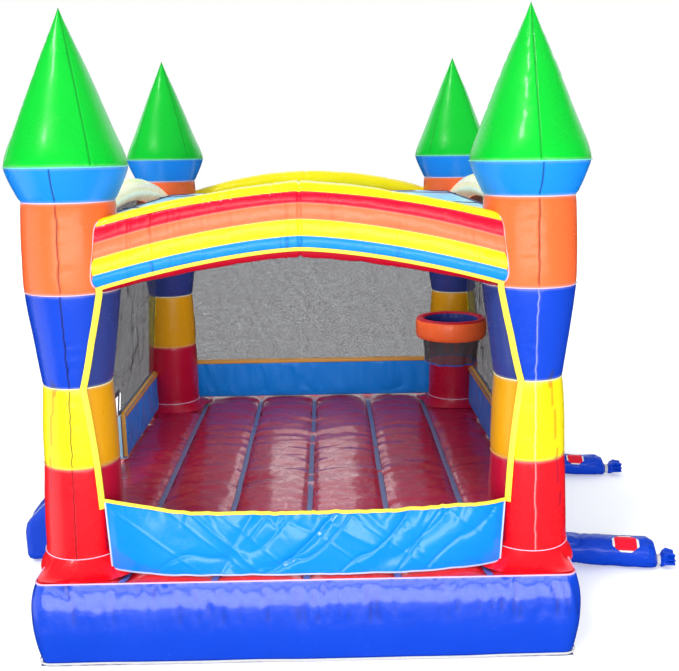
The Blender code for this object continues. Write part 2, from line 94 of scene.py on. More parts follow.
ARCH_BANDS = (  # name, colour, height in the middle and at the ends
    ("underside", "crimson", 0.057, 0.012),
    ("azure", "azure", 0.085, 0.085),
    ("yellow", "yellow", 0.108, 0.108),
    ("orange", "salmon", 0.105, 0.105),
    ("red", "rose", 0.072, 0.105),
    ("top", "yellow", 0.050, 0.050),
)
SMALL_ARCH = 0.20
REAR_ARCH_Y = 1.93
SIDE_ARCH_X = 1.55
SMALL_ARCH_TOP = 3.21
REAR_SAG, SIDE_SAG = 0.125, 0.075
WALL_HEIGHT, WALL_DEPTH, WALL_Z = 0.44, 0.10, TOWER_FOOT
WALL_TOP = WALL_Z + WALL_HEIGHT
SIDE_WALL_X, REAR_WALL_Y = 1.765, 2.235
ENTRANCE_FRONT_Y, ENTRANCE_REAR_Y, ENTRANCE_TOP = -0.85, 0.08, 1.27
DOOR_HINGE_Y, DOOR_CLEAR, DOOR_LENGTH = 0.10, 0.024, 0.86
DOOR_FOOT, DOOR_AJAR = 0.632, math.radians(8)
HOOP_CENTRE, HOOP_RADIUS, HOOP_HOLE = (1.344, 0.45), 0.335, 0.245
HOOP_TOP, HOOP_DEPTH, NET_DEPTH = 1.86, 0.20, 0.24
STEP_X, STEP_Y, STEP_TOP = (-2.43, -1.885), (-0.80, 0.10), 0.60
SLEEVE_ROOT_X = 1.885
SLEEVES = (  # name, y of the root, sideways run, height of the root, length, radius
    ("front", -0.93, -0.16, 0.150, 1.12, 0.125),
    ("rear", 1.15, -0.08, 0.200, 1.36, 0.105),
)
TRIM_Y = -2.105  # the plane of the front opening, where its yellow trim crosses the towers

# Linear colours
COLOURS = {
    "red": (0.95, 0.001, 0.010),
    "rose": (0.90, 0.0, 0.024),
    "crimson": (0.46, 0.001, 0.016),
    "maroon": (0.38, 0.008, 0.046),
    "yellow": (0.98, 0.80, 0.001),
    "blue": (0.0, 0.050, 0.56),
    "navy": (0.022, 0.036, 0.20),
    "orange": (0.96, 0.145, 0.034),
    "salmon": (0.97, 0.165, 0.062),
    "azure": (0.0, 0.24, 0.84),
    "green": (0.0, 0.57, 0.030),
    # on the roof this light azure stands in for azure vinyl with a painted sky reflection
    "sky": (0.34, 0.70, 0.93),
    "net": (0.040, 0.042, 0.046),
    "webbing": (0.03, 0.03, 0.035),
    "white": (0.82, 0.82, 0.80),
    "golden": (0.72, 0.32, 0.008),
    "cream": (1.00, 0.93, 0.62),
    "hem": (0.55, 0.60, 0.92),
    "blush": (0.72, 0.48, 0.80),
    "pink": (0.95, 0.42, 0.50),
    "lemon": (0.98, 0.90, 0.45),
    "peach": (0.80, 0.50, 0.62),
    "ice": (0.72, 0.62, 0.85),
    "mint": (0.10, 0.74, 0.60),
}
PAINTED_SHADE_AND_LIGHT = {  # painted lit and shaded copies of the same vinyl, used where the inside value is 1: shaded where a tower faces the cabin, lit red and blue on the floor's margin outside the walls
    "red": (0.45, 0.004, 0.030),
    "yellow": (0.72, 0.33, 0.004),
    "blue": (0.028, 0.050, 0.24),
    "orange": (0.62, 0.080, 0.020),
    "maroon": (0.95, 0.005, 0.014),
    "navy": (0.003, 0.060, 0.60),
}
FINISHES = {  # roughness, crumple lines, soft wrinkles, glossy coat, painted glow (emission of the paint's colour, as if light came through)
    "": (0.26, 0.10, 0.22, 0.22, 0.0),
    "_base": (0.22, 0.14, 0.25, 0.50, 0.0),
    "_floor": (0.16, 0.34, 0.60, 0.45, 0.0),
    "_strip": (0.30, 0.15, 0.30, 0.22, 0.0),
    "_ground": (0.50, 0.20, 0.40, 0.22, 0.0),
    "_trim": (0.35, 0.06, 0.20, 0.22, 0.0),
    "_arch": (0.26, 0.10, 0.22, 0.22, 0.06),
    "_painted_glow_arch": (0.26, 0.10, 0.22, 0.22, 0.30),
    "_roof": (0.30, 0.25, 0.40, 0.22, 0.22),
    "_wall": (0.28, 0.20, 0.35, 0.22, 0.0),
    "_apron": (0.17, 0.12, 0.15, 0.50, 0.0),
    "_step": (0.30, 0.15, 0.25, 0.10, 0.0),
    "_door": (0.24, 0.25, 0.35, 0.30, 0.30),
    "_sleeve": (0.22, 0.25, 0.35, 0.22, 0.0),
}


# ---------------------------------------------------------------- camera, light and floor


class Nodes:
    """Short calls for building a node tree."""

    def __init__(self, owner):
        self.tree = owner.node_tree

    def feed(self, node, inputs):
        """Sets inputs, by name or number, to plain values or to the outputs of other nodes."""
        for key, value in inputs.items():
            if isinstance(value, bpy.types.NodeSocket):
                self.tree.links.new(value, node.inputs[key])
            else:
                node.inputs[key].default_value = value

    def add(self, kind, inputs=None, **settings):
        node = self.tree.nodes.new("ShaderNode" + kind)
        for key, value in settings.items():
            setattr(node, key, value)
        self.feed(node, inputs or {})
        return node

    def math(self, operation, a, b=0.0):
        return self.add("Math", {0: a, 1: b}, operation=operation).outputs[0]

    def spread(self, value, low, high):
        """A 0 to 1 value spread over low to high."""
        return self.add("MapRange", {"Value": value, "To Min": low, "To Max": high}).outputs[0]

    def mix(self, share, a, b):
        return self.add("Mix", {0: share, 6: a, 7: b}, data_type="RGBA").outputs[2]

    def noise(self, place, scale, detail, **more):
        return self.add("TexNoise", {"Vector": place, "Scale": scale, "Detail": detail, **more}).outputs

    def bump(self, height, strength, distance, under=None):
        """Relief, on top of the relief under it."""
        inputs = {"Height": height, "Strength": strength, "Distance": distance}
        return self.add("Bump", {**inputs, "Normal": under} if under else inputs).outputs[0]


def new_material(name):
    """A material, short calls for its nodes, and its shader."""
    mat = bpy.data.materials.new(name)
    mat.use_nodes = True
    n = Nodes(mat)
    return mat, n, n.tree.nodes["Principled BSDF"]


def make_camera():
    place = Vector((0.1826, -7.951, 3.4445))
    yaw, pitch, roll = 0.0116, 0.2057, -0.0148
    ahead = Vector(
        (math.sin(yaw) * math.cos(pitch), math.cos(yaw) * math.cos(pitch), -math.sin(pitch))
    )
    level = Vector((math.cos(yaw), -math.sin(yaw), 0))
    above = level.cross(ahead)
    right = math.cos(roll) * level + math.sin(roll) * above
    up = -math.sin(roll) * level + math.cos(roll) * above
    data = bpy.data.cameras.new("camera")
    data.sensor_width = 36
    data.lens = 36 * 900 / 679
    camera = bpy.data.objects.new("camera", data)
    camera.matrix_world = Matrix((right, up, -ahead)).transposed().to_4x4()
    camera.location = place
    bpy.context.scene.collection.objects.link(camera)
    bpy.context.scene.camera = camera


def make_world():
    """A white backdrop, soft light from above, and another sky for the gloss to mirror."""
    world = bpy.data.worlds.new("studio")
    bpy.context.scene.world = world
    world.use_nodes = True
    n = Nodes(world)
    n.tree.nodes.clear()
    parts = n.add("SeparateXYZ", {0: n.add("TexCoord").outputs["Generated"]})
    path = n.add("LightPath")

    def smooth(value, low, high, to=1.0):
        node = n.add(
            "MapRange",
            {"Value": value, "From Min": low, "From Max": high, "To Max": to},
            interpolation_type="SMOOTHSTEP",
        )
        return node.outputs[0]

    # What the gloss mirrors: dark ground, sky overhead and a bright rear
    z, y = parts.outputs["Z"], parts.outputs["Y"]
    rear = n.math("MULTIPLY", smooth(y, 0.35, 0.85, 1.5), smooth(z, -0.02, 0.10))
    sky = n.math("ADD", smooth(z, 0.30, 0.85, 0.30), rear)
    mirrored = n.add(
        "Background",
        {"Color": n.mix(smooth(z, 0.0, 0.3), (0.5, 0.55, 0.5, 1), (0.82, 0.92, 1.0, 1)),
         "Strength": n.math("ADD", sky, 0.02)},
    )
    grey = smooth(z, -0.4, 1.0, 0.62)
    lit = n.add("Background", {"Color": (0.95, 0.98, 1, 1), "Strength": n.math("ADD", grey, 0.26)})
    seen = n.add("Background", {"Color": (1, 1, 1, 1)})
    glossy = n.add("MixShader", {0: path.outputs["Is Glossy Ray"], 1: lit.outputs[0], 2: mirrored.outputs[0]})
    camera = n.add("MixShader", {0: path.outputs["Is Camera Ray"], 1: glossy.outputs[0], 2: seen.outputs[0]})
    n.add("OutputWorld", {0: camera.outputs[0]})


def lamp(name, kind, place, target, power, **settings):
    data = bpy.data.lights.new(name, kind)
    data.energy = power
    for key, value in settings.items():
        setattr(data, key, value)
    obj = bpy.data.objects.new(name, data)
    obj.location = place
    obj.rotation_euler = (Vector(place) - Vector(target)).to_track_quat("Z", "Y").to_euler()
    obj.visible_camera = False
    bpy.context.scene.collection.objects.link(obj)
    return obj


def panel_lamp(name, place, target, power, size):
    return lamp(name, "AREA", place, target, power, shape="RECTANGLE", size=size[0], size_y=size[1])


def make_lights():
    """Returns the lamps that light only some pieces, with the names of those pieces."""
    place = (-5.2, -6.4, 9.5)
    sun = lamp("soft_sun", "SUN", place, (0, 0, 0), 1.40, angle=math.radians(16))
    glint = lamp("sun_glint", "SUN", place, (0, 0, 0), 0.55, angle=math.radians(7))
    fill = panel_lamp("front_fill", (0.5, -11, 3.6), (0, 0, 1.6), 700, (9.0, 5.0))
    # Daylight that the roof sheet lets through
    glow = panel_lamp("cabin_glow", (0, 0, 2.85), (0, 0.01, 0), 44, (2.4, 3.0))
    # Reflection cards: the bright horizon that the base mirrors, the sky, and a side window
    low = panel_lamp("horizon_card", (-1, -9.5, -0.30), (0, 0, 0.30), 850, (15.0, 2.6))
    high = panel_lamp("sky_card", (0, -9.5, 2.6), (0, 0, 1.6), 300, (12.0, 1.6))
    side = panel_lamp("window_card", (-11, -3.5, 0.0), (0, -1, 0.4), 300, (9.0, 9.0))
    # The daylight behind the rear net, which the floor mirrors
    rear = panel_lamp("rear_card", (0, 1.98, 1.75), (0, 0, 1.2), 6.5, (1.1, 1.3))
    for soft in (sun, fill, glow):
        soft.visible_glossy = False
    for card in (glint, low, high, side, rear):
        card.visible_diffuse = False
    return {low: ("base_side_skin",), rear: ("jump_floor_skin",)}


def only_lights(lamp, names):
    """Limits a lamp to the pieces of these names."""
    receivers = bpy.data.collections.new(f"{lamp.name}_receivers")
    for name in names:
        receivers.objects.link(bpy.data.objects[name])
    lamp.light_linking.receiver_collection = receivers


def make_floor():
    mat, n, shader = new_material("studio_floor")
    white = (1, 1, 1, 1)
    pale = (0.93, 0.93, 0.93, 1)
    n.feed(shader, {"Base Color": pale, "Roughness": 0.85})
    n.feed(shader, {"Emission Color": white, "Emission Strength": 0.30})
    mesh = bpy.data.meshes.new("studio_floor")
    size = 60
    mesh.from_pydata(
        [(-size, -size, 0), (size, -size, 0), (size, size, 0), (-size, size, 0)], [], [(0, 1, 2, 3)]
    )
    mesh.materials.append(mat)
    floor = bpy.data.objects.new("studio_floor", mesh)
    floor.visible_glossy = floor.visible_shadow = False
    bpy.context.scene.collection.objects.link(floor)


# ---------------------------------------------------------------- noise and folds


def hashed(cell, seed):
    mixed = cell[..., 0] * 374761393 + cell[..., 1] * 668265263
    mixed = mixed + cell[..., 2] * 1442695041 + seed * 1274126177
    mixed = (mixed ^ (mixed >> 13)) & 0xFFFFFFFF
    mixed = (mixed * 1103515245 + 12345) & 0xFFFFFFFF
    return (mixed ^ (mixed >> 16)) % 65536 / 32767.5 - 1


def noise(points, size, seed=0):
    """Smooth noise from -1 to 1 with cells of this size, one number or (x, y, z)."""
    q = np.asarray(points, float) / np.asarray(size, float)
    cell = np.floor(q).astype(np.int64)
    f = q - cell
    f = f * f * (3 - 2 * f)
    total = 0.0
    for corner in np.ndindex(2, 2, 2):
        step = np.array(corner)
        weight = np.prod(np.where(step, f, 1 - f), axis=-1)
        total = total + weight * hashed(cell + step, seed)
    return total


def fractal(points, size, seed=0, octaves=3):
    size = np.asarray(size, float)
    return sum(noise(points, size / 2**i, seed + i) / 2**i for i in range(octaves))


def ridges(points, size, seed=0):
    """Sharp folds: 1 along the creases and 0 between them."""
    return np.clip(1 - np.abs(noise(points, size, seed)) * 5, 0, 1) ** 2


def stacked(*parts):
    return np.stack(np.broadcast_arrays(*parts), axis=-1)


def fade(x, low, high):
    t = np.clip((x - low) / (high - low), 0, 1)
    return t * t * (3 - 2 * t)


def puckers(along, away, length, spacing, depth, reach, seed, loop=False):
    """The short folds that start at a seam and run out from it, as a depth below the skin."""
    draw = np.random.default_rng(seed)
    count = max(1, int(length / spacing))
    total = 0.0
    for k in range(count):
        centre = length * (k + draw.uniform(0.1, 0.9)) / count
        lean = draw.normal(0, 0.3)
        size = depth * draw.uniform(0.1, 1.0) ** 1.5
        far = reach * draw.uniform(0.4, 1.3)
        width = spacing * draw.uniform(0.13, 0.3)
        off = along - centre - lean * away
        if loop:
            off = (off + length / 2) % length - length / 2
        total = total - size * np.exp(-((off / width) ** 2)) * np.exp(-((away / far) ** 2))
    return total


# ---------------------------------------------------------------- meshes


class Shape:
    """Grids of points that become one piece, with UVs in metres, at each point a value for wear and painted
    shade, and one that swaps in a painted copy of the colour: shaded on the towers, lit on the floor's
    margin.
    """

    def __init__(self):
        self.points, self.faces, self.uvs, self.slots = [], [], [], []
        self.wear, self.inside = [], []
        self.count = 0

    def grid(self, points, wrap_u=False, wrap_v=False, flip=False, slot=0, wear=0.0, inside=0.0, keep=None):
        """Rows and columns of points. Keep says which faces stay."""
        points = np.asarray(points, float)
        rows, columns = points.shape[:2]
        index = np.arange(rows * columns).reshape(rows, columns) + self.count
        closed = points
        if wrap_u:
            index = np.concatenate([index, index[:, :1]], 1)
            closed = np.concatenate([closed, closed[:, :1]], 1)
        if wrap_v:
            index = np.concatenate([index, index[:1]], 0)
            closed = np.concatenate([closed, closed[:1]], 0)
        u = np.linalg.norm(np.diff(closed, axis=1), axis=-1).mean(0)
        v = np.linalg.norm(np.diff(closed, axis=0), axis=-1).mean(1)
        place = np.stack(
            np.meshgrid(np.r_[0, np.cumsum(u)], np.r_[0, np.cumsum(v)]), axis=-1
        )
        corners = [(slice(None, -1), slice(None, -1)), (slice(None, -1), slice(1, None))]
        corners += [(slice(1, None), slice(1, None)), (slice(1, None), slice(None, -1))]
        if flip:
            corners.reverse()
        faces = np.stack([index[c] for c in corners], axis=-1)
        uv = np.stack([place[c] for c in corners], axis=-2)
        if keep is None:
            keep = np.ones(faces.shape[:2], bool)
        faces, uv = faces[keep], uv[keep]
        self.points.append(points.reshape(-1, 3))
        self.wear.append(np.broadcast_to(wear, (rows, columns)).reshape(-1))
        self.inside.append(np.broadcast_to(inside, (rows, columns)).reshape(-1))
        self.faces += faces.tolist()
        self.uvs.append(uv.reshape(-1, 2))
        self.slots += [slot] * len(faces)
        self.count += rows * columns
        return self

    def cap(self, ring, flip=False, slot=0):
        """A flat face that closes a ring of points."""
        ring = np.asarray(ring, float)
        face = list(range(self.count, self.count + len(ring)))
        self.points.append(ring)
        self.wear.append(np.zeros(len(ring)))
        self.inside.append(np.zeros(len(ring)))
        self.faces.append(face[::-1] if flip else face)
        self.uvs.append(ring[:, :2])
        self.slots.append(slot)
        self.count += len(ring)
        return self

    def sweep(self, path, normals, section, closed=False, slot=0, wear=0.4, inside=0.0):
        """A section of (across, up) points carried along a path."""
        path = np.asarray(path, float)
        normals = np.broadcast_to(np.asarray(normals, float), path.shape)
        if closed:
            ahead = np.roll(path, -1, 0) - np.roll(path, 1, 0)
        else:
            ahead = np.gradient(path, axis=0)
        ahead /= np.linalg.norm(ahead, axis=1, keepdims=True)
        across = np.cross(ahead, normals)
        across /= np.linalg.norm(across, axis=1, keepdims=True)
        up = np.cross(across, ahead)
        section = np.asarray(section, float)
        rings = path[:, None] + across[:, None] * section[:, :1] + up[:, None] * section[:, 1:]
        self.grid(rings, wrap_u=True, wrap_v=closed, flip=True, slot=slot, wear=wear, inside=inside)
        if not closed:
            self.cap(rings[0], slot=slot)
            self.cap(rings[-1], flip=True, slot=slot)
        return self

    def build(self, name, materials, body=HOUSE, replaces=(), slot=None):
        mesh = bpy.data.meshes.new(name)
        mesh.from_pydata(np.concatenate(self.points).tolist(), [], self.faces)
        layer = mesh.uv_layers.new(name="metres")
        layer.data.foreach_set("uv", np.concatenate(self.uvs).astype(np.float32).ravel())
        mesh.polygons.foreach_set("material_index", np.array(self.slots, np.int32))
        for kind, values in (("wear", self.wear), ("inside", self.inside)):
            layer = mesh.attributes.new(kind, "FLOAT", "POINT")
            layer.data.foreach_set("value", np.concatenate(values).astype(np.float32))
        for mat in materials if isinstance(materials, (list, tuple)) else [materials]:
            mesh.materials.append(mat)
        mesh.update()
        mesh.shade_smooth()
        obj = bpy.data.objects.new(name, mesh)
        bpy.context.scene.collection.objects.link(obj)
        if body:
            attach(obj, body)
        if replaces:
            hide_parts(*replaces)
        return obj


def tape(width, height, steps=4):
    """The section of a flat strip with round edges, standing on its path."""
    points = []
    for side, start in ((1, -90), (-1, 90)):
        for i in range(steps + 1):
            angle = math.radians(start + 180 * i / steps)
            across = side * (width - height) / 2 + height / 2 * math.cos(angle)
            points.append((across, height / 2 + height / 2 * math.sin(angle)))
    return points


def turns(count):
    """Angles all the way round."""
    return 2 * np.pi * np.arange(count) / count


def turned(angle):
    """The same angle between -pi and pi."""
    return (angle + np.pi) % (2 * np.pi) - np.pi


def outward(angle):
    return stacked(np.cos(angle), np.sin(angle), 0.0)


def about(middle, radius, angle, z):
    """Points round an upright axis."""
    return stacked(middle[0] + radius * np.cos(angle), middle[1] + radius * np.sin(angle), z)


def circle(radius, sides=8):
    return radius * outward(turns(sides))[:, :2]


# ---------------------------------------------------------------- materials


@functools.cache
def vinyl(colour, finish=""):
    """Coated vinyl: scrim under a glossy coat, soft wrinkles, crumple lines, dust and rubbed seams, with
    painted shade in creases, painted lit and shaded copies of some colours, and a painted glow.
    """
    gloss, crumple, fine, coat, glow = FINISHES[finish]
    mat, n, shader = new_material(f"vinyl_{colour}{finish}")
    place = n.add("TexCoord").outputs["Object"]
    metres = n.add("UVMap", uv_map="metres").outputs[0]
    wear = n.add("Attribute", attribute_name="wear").outputs["Fac"]

    clouds = n.noise(place, 1.9, 4.0)["Fac"]
    grime = n.noise(place, 23.0, 7.0, Roughness=0.7)["Fac"]
    dust = n.math("MULTIPLY", n.math("SUBTRACT", grime, 0.56), 2.2)
    dust = n.math("MAXIMUM", n.math("MINIMUM", dust, 1.0), 0.0)
    paint = (*COLOURS[colour], 1)
    # Painted light and shade: where the inside value is 1 the colour swaps to its painted copy, shaded on
    # tower skins facing the cabin and lit on the floor's margin
    if colour in PAINTED_SHADE_AND_LIGHT:
        inside = n.add("Attribute", attribute_name="inside").outputs["Fac"]
        paint = n.mix(inside, paint, (*PAINTED_SHADE_AND_LIGHT[colour], 1))
    paint = n.mix(n.spread(clouds, 0.16, 0.0), paint, (0, 0, 0, 1))
    paint = n.mix(n.math("MULTIPLY", dust, 0.10), paint, (0.10, 0.09, 0.08, 1))
    # Above 0, the value rubs the paint pale, as wear. Below 0, it paints dark thread and the painted shade of
    # creases, seam grooves and the base's foot
    patchy = n.spread(grime, 0.15, 0.9)
    rubbed = n.math("MAXIMUM", n.math("MULTIPLY", n.math("MULTIPLY", wear, patchy), 0.30), 0.0)
    paint = n.mix(rubbed, paint, (0.85, 0.85, 0.88, 1))
    thread = n.math("MAXIMUM", n.math("MULTIPLY", wear, -1.0), 0.0)
    paint = n.mix(thread, paint, (0.012, 0.008, 0.015, 1))
    rough = n.math("ADD", n.spread(clouds, gloss - 0.05, gloss + 0.09), n.math("MULTIPLY", dust, 0.15))

    threads = [
        n.add("TexWave", {"Vector": metres, "Scale": 62.0, "Distortion": 0.4, "Detail": 0.0},
              bands_direction=axis).outputs["Fac"]
        for axis in ("X", "Y")
    ]
    relief = n.bump(n.math("MAXIMUM", threads[0], threads[1]), 0.06, 0.001)
    soft = n.noise(place, 11.0, 5.0, Distortion=0.7)
    relief = n.bump(soft["Fac"], fine, 0.006, relief)
    shift = n.add("VectorMath", {0: soft["Color"], "Scale": 0.10}, operation="SCALE").outputs[0]
    bent = n.add("VectorMath", {0: place, 1: soft["Color"], 2: shift}, operation="MULTIPLY_ADD").outputs[0]
    cells = n.add("TexVoronoi", {"Vector": bent, "Scale": 5.5}, feature="DISTANCE_TO_EDGE").outputs[0]
    lines = n.math("MINIMUM", n.math("MULTIPLY", cells, 7.0), 1.0)
    relief = n.bump(lines, crumple, 0.006, relief)

    n.feed(shader, {"Base Color": paint, "Roughness": rough, "Normal": relief})
    # Painted glow: the vinyl emits its own paint colour, standing in for light that comes through it
    n.feed(shader, {"Emission Color": paint, "Emission Strength": glow, "Specular IOR Level": 0.30})
    n.feed(shader, {"Coat Weight": coat, "Coat Roughness": 0.12})
    return mat


@functools.cache
def netting(cell=0.010, strand=0.52, tag=""):
    """Knitted dark netting: see-through between its strands, with knots and uneven tension."""
    mat, n, shader = new_material(f"netting{tag}")
    metres = n.add("UVMap", uv_map="metres").outputs[0]
    pull = n.noise(metres, 14.0, 2.0)["Color"]
    pulled = n.add("VectorMath", {0: pull, "Scale": 0.012}, operation="SCALE").outputs[0]
    moved = n.add("VectorMath", {0: metres, 1: pulled}, operation="ADD").outputs[0]
    parts = n.add("SeparateXYZ", {0: moved})
    lines = []
    for axis in ("X", "Y"):
        turn = n.math("FRACT", n.math("DIVIDE", parts.outputs[axis], cell))
        lines.append(n.math("ABSOLUTE", n.math("SUBTRACT", turn, 0.5)))
    far = n.math("MAXIMUM", lines[0], lines[1])
    grain = n.noise(metres, 42.0, 2.0)["Fac"]
    thread = n.math("GREATER_THAN", far, n.spread(grain, 0.58 - strand / 2, 0.38 - strand / 2))
    patchy = n.noise(n.add("TexCoord").outputs["Object"], 3.0, 3.0)["Fac"]
    low, high = ((*(c * share for c in COLOURS["net"]), 1) for share in (0.7, 2.2))
    n.feed(shader, {"Base Color": n.mix(patchy, low, high), "Alpha": thread})
    n.feed(shader, {"Roughness": n.spread(patchy, 0.65, 0.9), "Normal": n.bump(far, 0.5, 0.002)})
    return mat


@functools.cache
def webbing(colour):
    """Woven polyester tape: ribs across and along, and fuzz."""
    mat, n, shader = new_material(f"webbing_{colour}")
    metres = n.add("UVMap", uv_map="metres").outputs[0]
    ribs = [
        n.add("TexWave", {"Vector": metres, "Scale": scale, "Distortion": 0.6}, bands_direction=axis)
        for axis, scale in (("Y", 95.0), ("X", 140.0))
    ]
    weave = n.math("MULTIPLY", ribs[0].outputs["Fac"], n.spread(ribs[1].outputs["Fac"], 0.5, 1.0))
    fuzz = n.noise(metres, 60.0, 4.0)["Fac"]
    low = (*(c * 0.6 for c in COLOURS[colour]), 1)
    high = (*(c + (0.9 - c) * 0.15 for c in COLOURS[colour]), 1)
    n.feed(shader, {"Base Color": n.mix(n.math("MULTIPLY", weave, fuzz), low, high)})
    n.feed(shader, {"Roughness": n.spread(fuzz, 0.6, 0.9), "Normal": n.bump(weave, 0.6, 0.0015)})
    n.feed(shader, {"Sheen Weight": 0.2})
    return mat


@functools.cache
def metal():
    """Brushed zip metal, with its grain along the zip."""
    mat, n, shader = new_material("zip_metal")
    place = n.add("TexCoord").outputs["Object"]
    brushed = n.add("Mapping", {"Vector": place, "Scale": (12.0, 300.0, 300.0)}).outputs[0]
    grain = n.noise(brushed, 3.0, 5.0)["Fac"]
    n.feed(shader, {"Base Color": n.mix(grain, (0.42, 0.42, 0.43, 1), (0.72, 0.72, 0.74, 1))})
    n.feed(shader, {"Roughness": n.spread(grain, 0.22, 0.45), "Metallic": 1.0})
    return mat


# ---------------------------------------------------------------- shared outlines


def tower_centre(sx, sy, z):
    lean = LEAN * (z - TOWER_FOOT)
    return sx * (TOWER_X - lean), sy * (TOWER_Y - lean)


def profile_radius(profile, z):
    """The band's radius, with the corners of its outline rounded but its ends kept."""
    heights, radii = np.array(profile).T
    sharp = np.interp(z, heights, radii)
    round_ = sum(np.interp(z + k * 0.018, heights, radii) for k in range(-3, 4)) / 7
    near = np.minimum(z - heights[0], heights[-1] - z)
    return sharp + (round_ - sharp) * np.clip(near / 0.06, 0, 1)


def tower_radius(z):
    profile = np.array([point for _, band, _ in BANDS for point in band])
    return np.interp(z, profile[:, 0], profile[:, 1])


def tower_point(sx, sy, z, angle, lift=0.0):
    """A point on a tower's skin, and the direction away from its axis."""
    radius = tower_radius(z) + 0.004 + lift
    return about(tower_centre(sx, sy, z), radius, angle, z), outward(angle)


def reach(across, z, centre_across, centre_along, inside=0.012):
    """How far a beam runs, at this distance across it, to end just inside the tower's skin."""
    lean = LEAN * (z - TOWER_FOOT)
    off = across - (centre_across - lean)
    radius = tower_radius(z)
    return centre_along - lean - np.sqrt(np.maximum(0.0, radius**2 - off**2)) + inside


def reach_x(y, z, inside=0.012):
    return reach(np.abs(y), z, TOWER_Y, TOWER_X, inside)


def reach_y(x, z, inside=0.012):
    return reach(np.abs(x), z, TOWER_X, TOWER_Y, inside)


def squared(angle, power):
    """(across, up) on a rounded square of half width 1: the higher the power, the squarer."""
    c, s = np.cos(angle), np.sin(angle)
    return np.sign(c) * np.abs(c) ** (2 / power), np.sign(s) * np.abs(s) ** (2 / power)


# ---------------------------------------------------------------- base and floor


def base_outline(step=0.021):
    """Points round the base at ground level, and the directions out of it."""
    points, outs = [], []
    straight_x, straight_y = HALF_X - BASE_CORNER, HALF_Y - BASE_CORNER
    for turn, (sx, sy), run in (
        (0, (1, -1), 2 * straight_y),
        (90, (1, 1), 2 * straight_x),
        (180, (-1, 1), 2 * straight_y),
        (270, (-1, -1), 2 * straight_x),
    ):
        middle = np.array((sx * straight_x, sy * straight_y))
        for i in range(9):
            angle = math.radians(turn - 90 + 90 * i / 9)
            out = np.array((math.cos(angle), math.sin(angle)))
            points.append(middle + BASE_CORNER * out)
            outs.append(out)
        angle = math.radians(turn)
        out = np.array((math.cos(angle), math.sin(angle)))
        ahead = np.array((-out[1], out[0]))
        for i in range(round(run / step)):
            points.append(middle + BASE_CORNER * out + ahead * run * i / round(run / step))
            outs.append(out)
    return np.array(points), np.array(outs)


def build_base():
    outline, outs = base_outline()
    length = np.linalg.norm(np.roll(outline, -1, 0) - outline, axis=1)
    along = np.r_[0, np.cumsum(length)[:-1]][None]
    total = length.sum()
    heights = np.linspace(0.004, BASE_HEIGHT, 40)[:, None]
    share = 2 * (heights / BASE_HEIGHT) ** 1.25 - 1
    bulge = BASE_BULGE * (1 - np.abs(share) ** 2.3)
    upper = fade(heights, 0.24, 0.36) * (1 - fade(heights, 0.52, 0.58))
    place = stacked(outline[None, :, 0], outline[None, :, 1], heights)
    creases = puckers(along, BASE_HEIGHT - heights, total, 0.060, 0.014, 0.11, 11, True)
    creases = creases + upper * puckers(along + 0.12 * heights, 0, total, 0.070, 0.013, 1.0, 14, True)
    bulge = bulge + creases + puckers(along, BASE_HEIGHT - heights, total, 0.031, 0.005, 0.040, 12, True)
    bulge = bulge + puckers(along, heights, total, 0.11, 0.009, 0.060, 13, True)
    bulge = bulge + 0.0035 * fractal(place, (0.11, 0.11, 0.55), 3) * (1 - share**2)
    bulge = bulge - 0.004 * ridges(place, (0.20, 0.20, 1.1), 8) * (1 - share**2)
    bulge = np.minimum(bulge, BASE_BULGE + 0.004)
    points = place + stacked(outs[None, :, 0], outs[None, :, 1], 0.0) * bulge[..., None]
    # Pale along the top edge as wear; painted shadow along the bottom 2 cm at the ground, and painted shade
    # in the bottoms of the creases
    rub = np.exp(-(((BASE_HEIGHT - heights) / 0.008) ** 2)) - 0.8 * (1 - fade(heights, 0.010, 0.022))
    dark = 0.35 * np.clip((creases + 0.004) / 0.008, -1, 0)
    wall = Shape().grid(points, wrap_u=True, wear=rub + dark)
    wall.build("base_side_skin", vinyl("blue", "_base"), replaces=("base_side_wall",), slot="blue")

    outs = stacked(outs[:, 0], outs[:, 1], 0.0)
    hem_wave = 0.016 + 0.006 * (1 + noise(stacked(outline[:, 0], outline[:, 1], 0.0), 0.35, 5))
    hem = stacked(outline[:, 0], outline[:, 1], hem_wave) + 0.012 * outs
    edge = Shape().sweep(hem, outs, tape(0.016, 0.004), closed=True)
    edge.build("base_ground_hem", webbing("white"), slot="white")

    rim = stacked(outline[:, 0], outline[:, 1], BASE_HEIGHT + 0.003)
    piping = Shape().sweep(rim, outs, circle(0.0055, 7), closed=True)
    piping.build("base_top_piping", vinyl("blush"), slot="white")


def seam_line(k):
    """Where the floor's seam k runs, from 1 to 5."""
    return (k - CHANNELS / 2) * CHANNEL_WIDTH


def floor_height(x, y):
    """The top of the jump floor: domed channels that run flat towards the edges of the base."""
    channel = np.clip(np.floor(x / CHANNEL_WIDTH + CHANNELS / 2), 0, CHANNELS - 1)
    low = np.maximum(seam_line(channel) + SEAM_HALF, -HALF_X)
    high = np.minimum(seam_line(channel + 1) - SEAM_HALF, HALF_X)
    q = np.clip((2 * x - low - high) / (high - low), -1, 1)
    dome = SEAM_Z + CHANNEL_RISE * (1 - q**2) ** 0.42
    end = fade(HALF_Y - np.abs(y), 0.005, 0.17)
    side = fade(HALF_X - np.abs(x), 0.0, 0.05)
    rim = BASE_HEIGHT - 0.002
    return rim + (dome - rim) * end * side, q


def lit_margin_paint(x, y):
    """1 on the margin of the floor outside the walls, 0 inside: where the floor's maroon, painted shade,
    turns to a painted lit red.
    """
    corner = fade(np.abs(x), 1.42, 1.48) * fade(np.abs(y), 1.65, 1.75)
    ends = np.maximum(fade(-y, 2.10, 2.14), fade(y, 2.24, 2.28))
    return np.maximum(np.maximum(ends, fade(np.abs(x), 1.75, 1.78)), corner)


def floor_end(x):
    past = np.maximum(0.0, np.abs(x) - (HALF_X - BASE_CORNER))
    return HALF_Y - BASE_CORNER + np.sqrt(np.maximum(0.0, BASE_CORNER**2 - past**2)) - 0.002


